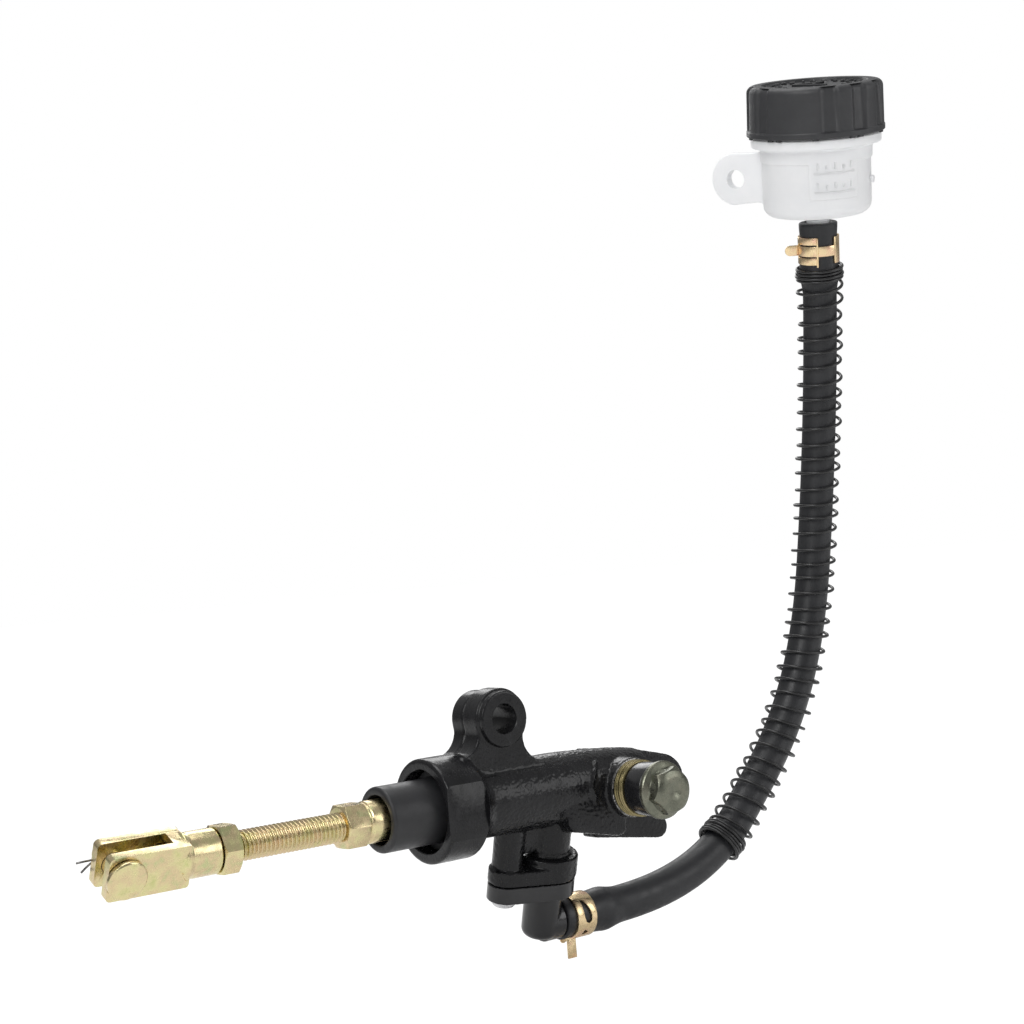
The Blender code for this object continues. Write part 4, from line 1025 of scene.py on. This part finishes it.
# ======================================================================= hose
HOSE_START = OUTLET + X * 6.0
LOWER_KNOT, UPPER_KNOT = Vector((128.8, 11.1, -20.4)), Vector((167.8, 6.84, 56.9))
LOWER_WAY = Vector((math.cos(math.radians(45.7)), 0, math.sin(math.radians(45.7))))
UPPER_WAY = Vector((0.12, -0.08, 0.99)).normalized()
HOSE_STATIONS = 260
PROUD = 0.72  # how far the nipples push the hose wall out


def hose_points(count):
    low, high = HOSE_START + X * 14, RES_FOOT - RES_AXIS * 17
    return (
        [HOSE_START]
        + bezier(low, low + X * 20, LOWER_KNOT - LOWER_WAY * 26, LOWER_KNOT, count)
        + bezier(LOWER_KNOT, LOWER_KNOT + LOWER_WAY * 22, UPPER_KNOT - UPPER_WAY * 47,
                 UPPER_KNOT, count)
        + bezier(UPPER_KNOT, UPPER_KNOT + UPPER_WAY * 34, high - RES_AXIS * 26, high, count)
        + [high, RES_FOOT]
    )


line = np.array([tuple(p) for p in hose_points(60)])
steps = np.linalg.norm(np.diff(line, axis=0), axis=1)
lengths = np.concatenate([[0], np.cumsum(steps)])
HOSE_LENGTH = float(lengths[-1])
HOSE_MARKS = np.linspace(0, HOSE_LENGTH, HOSE_STATIONS)
HOSE_LINE = np.stack([np.interp(HOSE_MARKS, lengths, line[:, k]) for k in range(3)], 1)
HOSE_FRAME = transport(HOSE_LINE)


def girth(s):
    """Outside radius: proud over each nipple, with a soft bulge where the barb ends."""
    from_end = min(s, HOSE_LENGTH - s)
    t = clamped((24.0 - from_end) / 7.0)
    proud = PROUD * (3 * t ** 2 - 2 * t ** 3)
    bulge = 0.33 * math.exp(-((from_end - 16.5) / 2.3) ** 2)
    pinch = -0.25 * math.exp(-((from_end - 7.2) / 4.6) ** 4)
    return HOSE_R + proud + bulge + pinch


def on_hose(s, radius, angle):
    """The point at length s, radius from the centre line and angle round it."""
    i = np.interp(s, HOSE_MARKS, np.arange(HOSE_STATIONS))
    k = min(int(i), HOSE_STATIONS - 2)
    t = i - k
    centre, _, normal, binormal = (v[k] * (1 - t) + v[k + 1] * t for v in HOSE_FRAME)
    return centre + radius * (math.cos(angle) * normal + math.sin(angle) * binormal)


def guard_path(low_turns=5, high_turns=4, tight=1.1, per_turn=40):
    """A coil, close-wound (tight apart) at both ends and slightly uneven along the way."""
    first, last = GUARD_FROM_LOW, HOSE_LENGTH - GUARD_FROM_HIGH
    middle = (last - first) - tight * (low_turns + high_turns)
    middle_turns = round(middle / GUARD_PITCH)
    high_start = low_turns + middle_turns
    total = high_start + high_turns
    path = []
    for i in range(total * per_turn + 1):
        turn = i / per_turn
        if turn < low_turns:
            s = first + tight * turn
        elif turn < high_start:
            s = first + tight * low_turns + middle / middle_turns * (turn - low_turns)
            s += 0.45 * math.sin(turn * 1.7) * min(1, turn - low_turns, high_start - turn)
        else:
            s = last - tight * (total - turn)
        wide = 0.45 * clamped((27.0 - (HOSE_LENGTH - s)) / 6.0)
        lean = 0.9 * math.cos(2 * math.pi * turn + 0.8) * (1 if turn > low_turns else 0.6)
        lean *= 1 if turn < high_start else 0.5
        radius = GUARD_R + wide + 0.18 * math.sin(turn * 2.3)
        path.append(on_hose(s + lean, radius, 2 * math.pi * turn))
    return path


def build_hose():
    hose = pipe(HOSE_LINE, [girth(s) for s in HOSE_MARKS], HOSE_BORE - 0.2, 64)
    hose_piece = show(hose, "hose_skin", None, "rubber", LOOKS["hose"])
    guard = swept(guard_path(), GUARD_WIRE, 10)
    guard_piece = show(guard, "guard_skin", None, "guard", LOOKS["wire"])
    for piece, node in ((hose_piece, "hose"), (guard_piece, "hose_guard_spring")):
        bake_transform(piece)
        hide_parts(node)


build_hose()

# ===================================================================== clamps
BAND_RADII = (6.1, 6.7)
FINGER_T, FINGER_START = 0.6, 6.3
LOWER_CLAMP_AT = OUTLET + X * 12.6
UPPER_CLAMP_AT = RES_FOOT - RES_AXIS * 8.7
TEARDROP = [  # along X, across it: the large hole in the lower band
    (-1.1, -1.5), (-0.5, -3.0), (0.6, -3.4), (1.5, -2.9), (1.7, -1.2), (0.9, 1.6),
    (-0.3, 3.7), (-1.2, 3.8)]
THREE_SIDED = [(-1.3, -1.2), (1.3, -0.2), (-0.6, 1.3)]  # the small hole
UPPER_STRIPS = [  # from and to degrees (0 faces the camera), low and high along the hose
    (-268, -95, -4.4, 4.4), (-97, -5, 2.1, 4.4), (-97, -5, -4.4, -2.1),
    (50, 80, -4.3, 4.3), (-76, 52, -1.65, 1.65),
]


def band(matrix, start, end, low, high):
    steps = max(2, int(abs(end - start) / 4))
    return curved_strip((start, end), BAND_RADII, (low, high), steps, matrix)


def finger(matrix, angle, low, high, end):
    """A tab with a rounded tip that stands out from the band."""
    half = (high - low) / 2
    outline = (
        [(FINGER_START, -half), (end - half, -half)]
        + arc(end - half, 0, half, -90, 90, 14)[1:-1]
        + [(end - half, half), (FINGER_START, half)]
    )
    matrix = matrix @ Matrix.Translation((0, 0, (low + high) / 2)) @ spin(angle, "Z")
    tab = prism(outline, -FINGER_T / 2, FINGER_T / 2, matrix @ spin(90, "X"))
    return round_off(tab, 0.16, 2, 40)


def build_lower_clamp():
    way = to_camera(LOWER_CLAMP_AT, X)
    ring = band(placed(LOWER_CLAMP_AT, X, way), -178, 178, -3.5, 3.5)
    facing = Matrix.Translation(LOWER_CLAMP_AT) @ columns(X, way.cross(X), way)
    combine(ring, "DIFFERENCE", [
        prism(fillet(TEARDROP, 0.5, 5, closed=True), 4, 10, facing),
        prism(fillet(THREE_SIDED, 0.35, 4, closed=True), 4, 10, facing @ spin(58, "X")),
    ])
    round_off(ring, 0.14, 2, 40)
    # a long finger hangs below, with a short one turned away from it
    below = placed(LOWER_CLAMP_AT, X, -Z)
    long_tab = finger(below, 0, -3.4, -0.2, end=14.0)
    short_tab = finger(below, 24, -3.4, -0.6, end=9.2)
    show(merged(ring, long_tab, short_tab), "lower_clamp_skin", "cylinder", "clamp",
         LOOKS["clamp"], "lower_hose_clamp", sharp=40)


def build_upper_clamp():
    """Two rails with a tongue between them, ending in a crosspiece."""
    matrix = placed(UPPER_CLAMP_AT, RES_AXIS, to_camera(UPPER_CLAMP_AT, RES_AXIS))
    strips = [round_off(band(matrix, *strip), 0.14, 2, 40) for strip in UPPER_STRIPS]
    upright = box((6.15, -0.3, -5.0), (7.6, 0.3, 4.5), matrix @ spin(-3, "Z"))
    round_off(upright, 0.18, 2)
    ear = finger(matrix, -80, -1.7, 1.7, end=11.0)
    show(merged(*strips, upright, ear), "upper_clamp_skin", "reservoir", "clamp",
         LOOKS["clamp"], "upper_hose_clamp", sharp=40)


build_lower_clamp()
build_upper_clamp()

# ================================================================== reservoir
TAB_WAY = square_to(Vector((-0.35, 0.917, 0.175)), RES_AXIS)
PANEL_WAY = square_to(Vector((-0.491, -0.886, 0)), RES_AXIS)
TAB_NORMAL = TAB_WAY.cross(RES_AXIS)
TAB_PLANE = Matrix.Translation(RES_FOOT) @ columns(TAB_WAY, RES_AXIS, TAB_NORMAL)
PANEL = placed(RES_FOOT, RES_AXIS, PANEL_WAY)
SHELL = [  # radius, height, corner radius
    # outside, down from the rim: neck, collar, wall, shoulder, spout
    (18.6, 38.0, 0.3), (18.6, 28.4, 0.3), (20.4, 28.2, 0.4), (20.7, 27.9, 0.3),
    (20.7, 25.5, 0.3), (20.3, 25.1, 0.4), (17.9, 24.4, 0.6), (17.8, 22.2, 0.3),
    (17.75, 20.6, 0.2), (17.3, 20.3, 0.25), (17.3, 3.0, 3.6), (4.6, 2.2, 0.4),
    (3.7, 2.0, 0.3), (3.7, -15.0, 0.2), (3.3, -16.0, 0.2),
    # inside, back up
    (2.6, -16.0, 0.1), (2.6, 4.0, 0.3), (15.4, 5.0, 2.4), (15.4, 24.0, 0.5),
    (16.4, 26.0, 0.5), (16.4, 38.0, 0.3),
]
TAB = (  # away from the axis, height
    [(16.4, TAB_H - 8.6), (20.5, TAB_H - 7.6)] + arc(TAB_REACH, TAB_H, TAB_R, -82, 82, 48)
    + [(20.5, TAB_H + 8.6), (16.4, TAB_H + 9.6)]
)
TAB_RIB = [(16.6, TAB_H - 7.6), (18.6, TAB_H - 7.2), (18.6, TAB_H + 8.0), (16.6, TAB_H + 8.6)]


def reservoir_shell():
    shell = lathe(fillet(SHELL, steps=5, closed=True), RES_FOOT, RES_AXIS, 160, closed=True)
    tab = round_off(prism(TAB, -TAB_T / 2, TAB_T / 2, TAB_PLANE), 0.55, 3, 50)
    tab_at = RES_FOOT + TAB_WAY * TAB_REACH + RES_AXIS * TAB_H
    normal = TAB_NORMAL.normalized()
    pad = cylinder(7.2, TAB_T / 2 + 0.5, tab_at, normal, 96, edge=0.2)
    rib = round_off(prism(TAB_RIB, -2.3, 2.3, TAB_PLANE), 0.7, 3, 50)
    # the level panel follows the wall as a thin curved plate
    panel = curved_strip((-27, 27), (15.9, 17.75), (9.4, 23.4), 30, PANEL)
    round_off(panel, 0.2, 2, 40)
    combine(shell, "UNION", [tab, pad, rib, panel])
    combine(shell, "DIFFERENCE", [cylinder(3.1, 16, tab_at - normal * 8, normal)])
    return shell


def raised_bar(start, end, low, high):
    steps = max(2, int(abs(end - start) / 2))
    bar = curved_strip((start, end), (17.5, 18.02), (low, high), steps, PANEL)
    return round_off(bar, 0.08, 2, 40)


def level_marks():
    """Two long lines, each with short ticks above it."""
    bars = []
    for z in (11.4, 17.4):
        bars.append(raised_bar(-22, 22, z, z + 0.5))
        for q in range(5):
            a = -18 + 9 * q
            bars.append(raised_bar(a - 0.9, a + 0.9, z + 1.4, z + (3.4 if q % 2 == 0 else 2.6)))
    return bars


def build_reservoir():
    shell = reservoir_shell()
    marks = level_marks()
    nub_way = spin(58, RES_AXIS) @ PANEL_WAY
    nub = cylinder(1.2, 1.6, RES_FOOT + nub_way * 16.9 + RES_AXIS * 13.5, nub_way, 32, edge=0.3)
    show(merged(shell, nub, *marks), "reservoir_skin", "reservoir", "white", LOOKS["white"],
         "reservoir", sharp=40)


build_reservoir()

# ======================================================================== cap
CAP_WAY = to_camera(RES_FOOT, RES_AXIS)
CAP_FRAME = placed(RES_FOOT, RES_AXIS, CAP_WAY)
CAP = [  # radius, height, corner radius: top, skirt, then the underside
    (0, 43.35, 0), (16.3, 43.35, 0.3), (16.7, CAP_HIGH, 0.3), (21.4, CAP_HIGH, 2.3),
    (21.65, 30.7, 0.25), (21.9, 30.3, 0.2), (21.9, 28.9, 0.3), (21.5, CAP_LOW, 0.2),
    (19.3, CAP_LOW, 0.2), (19.3, 41.5, 0.5), (0, 41.5, 0),
]
# three grip scoops, then a plain stretch, three times round; degrees from CAP_WAY
SCOOPS = [a + 120 * third for third in range(3) for a in (12.5, 40.0, 69.0)]
SCOOP_DEPTH, SCOOP_HALF = 1.25, 6.6


def scooped(r, height, angle):
    """Presses the grip scoops into the cap's wall."""
    if r < 20.0 or height < 29.8:
        return r, height
    offsets = [(math.degrees(angle) - s + 180) % 360 - 180 for s in SCOOPS]
    dip = max(math.exp(-(abs(d) / SCOOP_HALF) ** 6) for d in offsets)
    return r - SCOOP_DEPTH * dip * clamped(height - 30.2), height


def cap_bar(x0, x1, half, turn=0.0, top=44.0):
    bar = box((x0, -half, 43.0), (x1, half, top), CAP_FRAME @ spin(turn, "Z"))
    return round_off(bar, 0.12, 2)


def cap_pattern():
    """Rings of short raised strokes, some of them crossed, round a triangle with a dot."""
    rng = np.random.default_rng(11)
    bars = []
    for ring_r, count in ((14.3, 26), (11.4, 20)):
        for q in range(count):
            if rng.random() < 0.12:
                continue
            turn = 360 * q / count
            bars.append(cap_bar(ring_r - 0.85, ring_r + 0.85, 0.35, turn))
            if rng.random() < 0.6:
                bars.append(cap_bar(ring_r - 0.3, ring_r + 0.3, 0.9, turn + 1.5))
    for third in range(3):
        bars.append(cap_bar(3.2, 4.0, 5.9, 90 + 120 * third, top=44.1))
    bars.append(cap_bar(-0.6, 0.6, 0.6, top=44.1))
    return bars


def rim_bumps():
    """Small unevenly spaced bumps low on the skirt."""
    bumps = []
    for q, a in enumerate(range(0, 360, 24)):
        turn = spin(a + 9 * math.sin(q * 2.1), "Z")
        bump = box((20.8, -0.9, 28.15), (21.85, 0.9, 28.9), CAP_FRAME @ turn)
        bumps.append(round_off(bump, 0.2, 2))
    return bumps


def build_cap():
    cap = lathe(fillet(CAP, steps=8), RES_FOOT, RES_AXIS, 360, across=CAP_WAY, shape=scooped)
    show(merged(cap, *cap_pattern(), *rim_bumps()), "cap_skin", "cap", "cap", LOOKS["cap"],
         "reservoir_cap", sharp=40)


build_cap()

# ============================================================ inside the bore
SPRING_LOW, SPRING_HIGH, SPRING_R, SPRING_WIRE = 43.6, 61.0, 4.0, 0.45
SPRING_TURNS, SPRING_PER_TURN = 7, 36
END_PITCH = 1.15  # of the first and the last turn


def build_return_spring():
    open_length = SPRING_HIGH - SPRING_LOW - 2 * SPRING_WIRE - 2 * END_PITCH
    coil = []
    for i in range(SPRING_TURNS * SPRING_PER_TURN + 1):
        turn = i / SPRING_PER_TURN
        if turn < 1:
            x = SPRING_LOW + SPRING_WIRE + END_PITCH * turn
        elif turn > SPRING_TURNS - 1:
            x = SPRING_HIGH - SPRING_WIRE - END_PITCH * (SPRING_TURNS - turn)
        else:
            x = SPRING_LOW + SPRING_WIRE + END_PITCH
            x += open_length * (turn - 1) / (SPRING_TURNS - 2)
        a = 2 * math.pi * turn
        coil.append((x, SPRING_R * math.cos(a), SPRING_R * math.sin(a)))
    piece = show(swept(coil, SPRING_WIRE, 12), "return_spring_skin", "cylinder", "spring",
                 LOOKS["bright"], "return_spring")
    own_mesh(piece)


build_return_spring()

# CAD pieces that keep their own shape and only get a material
KEPT = dict(
    piston="turned", primary_cup="boot", secondary_cup="boot", elbow_o_ring="boot",
    rod_stop_washer="bright", circlip="dull", diaphragm_plate="white",
    reservoir_diaphragm="boot",
)
for node, key in KEPT.items():
    mesh = frame["nodes"][node].data
    mesh.materials.clear()
    mesh.materials.append(LOOKS[key])

bpy.data.collections.remove(bench)

# ============================================================= studio, metres
FLOOR_GAP = 0.0006
LIGHTS_AIM = (0.02, 0.0, 0.02)


def paper():
    """Pale paper.  The camera sees it mostly as evenly lit, so shadows only just show."""
    pale = bpy.data.materials.new("pale_paper")
    pale.use_nodes = True
    kit = Nodes(pale.node_tree)
    shader = pale.node_tree.nodes["Principled BSDF"]
    speck = kit.add("TexNoise", {"Scale": 40.0})
    tone = kit.add("ValToRGB", {"Fac": speck.outputs["Fac"]})
    for stop, grey in zip(tone.color_ramp.elements, (0.93, 0.97)):
        stop.color = (grey, grey, grey, 1)
    colour = tone.outputs["Color"]
    for key, value in {"Roughness": 0.9, "Specular IOR Level": 0.05, "Base Color": colour}.items():
        kit.feed(shader.inputs[key], value)
    lit = kit.add("Emission", {"Color": colour, "Strength": 1.2})
    seen = kit.add("LightPath").outputs["Is Camera Ray"]
    share = kit.math("MULTIPLY", seen, 0.9)
    both = kit.add("MixShader", {0: share, 1: shader.outputs[0], 2: lit.outputs[0]})
    kit.feed(pale.node_tree.nodes["Material Output"].inputs["Surface"], both.outputs[0])
    return pale


def build_floor():
    bm = bmesh.new()
    bmesh.ops.create_grid(bm, x_segments=2, y_segments=2, size=6.0)
    mesh = bpy.data.meshes.new("studio_floor")
    bm.to_mesh(mesh)
    bm.free()
    floor = bpy.data.objects.new("studio_floor", mesh)
    floor.location = (0, 0, cad_box[0].z - FLOOR_GAP)
    bpy.context.scene.collection.objects.link(floor)
    mesh.materials.append(paper())


def build_world():
    """White to the camera; everything else is lit by a dim sky, darkest near the horizon."""
    world = bpy.data.worlds.new("studio")
    bpy.context.scene.world = world
    world.use_nodes = True
    world.node_tree.nodes.clear()
    kit = Nodes(world.node_tree)
    out = kit.add("OutputWorld")
    seen = kit.add("Background", {0: (1, 1, 1), 1: 1.0})
    aim = kit.add("TexCoord").outputs["Generated"]
    height = kit.add("SeparateXYZ", {0: aim}).outputs["Z"]
    half_up = kit.add("Math", {0: height, 1: 0.5, 2: 0.5}, operation="MULTIPLY_ADD")
    sky = kit.add("ValToRGB", {"Fac": half_up.outputs[0]})
    stops = sky.color_ramp.elements
    stops[0].position, stops[0].color = 0.30, (0.55, 0.55, 0.56, 1)
    stops[1].position, stops[1].color = 0.78, (1, 1, 1, 1)
    stops.new(0.5).color = (0.42, 0.42, 0.43, 1)
    felt = kit.add("Background", {0: sky.outputs["Color"], 1: 0.42})
    direct = kit.add("LightPath").outputs["Is Camera Ray"]
    pick = kit.add("MixShader", {0: direct, 1: felt.outputs[0], 2: seen.outputs[0]})
    kit.feed(out.inputs[0], pick.outputs[0])


def softbox(name, at, size, power):
    """A rectangular light of size metres and power watts, aimed at the product."""
    data = bpy.data.lights.new(name, "AREA")
    data.shape = "RECTANGLE"
    data.size, data.size_y = size
    data.energy = power
    lamp = bpy.data.objects.new(name, data)
    lamp.location = at
    lamp.rotation_mode = "QUATERNION"
    lamp.rotation_quaternion = (Vector(at) - Vector(LIGHTS_AIM)).to_track_quat("Z", "Y")
    bpy.context.scene.collection.objects.link(lamp)


def build_camera():
    data = bpy.data.cameras.new("camera")
    data.lens = 62.827734375
    data.sensor_width = 36
    data.clip_start, data.clip_end = 0.01, 20
    camera = bpy.data.objects.new("camera", data)
    right = Vector((0.7963, -0.5995, -0.081))
    up = Vector((0.0506, -0.0674, 0.9964))
    back = Vector((-0.6028, -0.7976, -0.0234))
    camera.rotation_mode = "QUATERNION"
    camera.rotation_quaternion = Matrix((right, up, back)).transposed().to_quaternion()
    camera.location = (CAMERA_AT - ORIGIN) * 0.001
    bpy.context.scene.collection.objects.link(camera)
    bpy.context.scene.camera = camera


build_floor()
build_world()
softbox("key", at=(-0.9, -0.5, 0.7), size=(0.5, 0.7), power=6.0)
softbox("fill", at=(0.7, -0.9, 0.35), size=(0.6, 0.6), power=2.4)
softbox("top", at=(0.0, 0.1, 1.0), size=(0.8, 0.5), power=4.0)
softbox("rim", at=(0.5, 0.8, 0.6), size=(0.5, 0.5), power=2.0)
build_camera()
bpy.context.scene.view_settings.view_transform = "Standard"
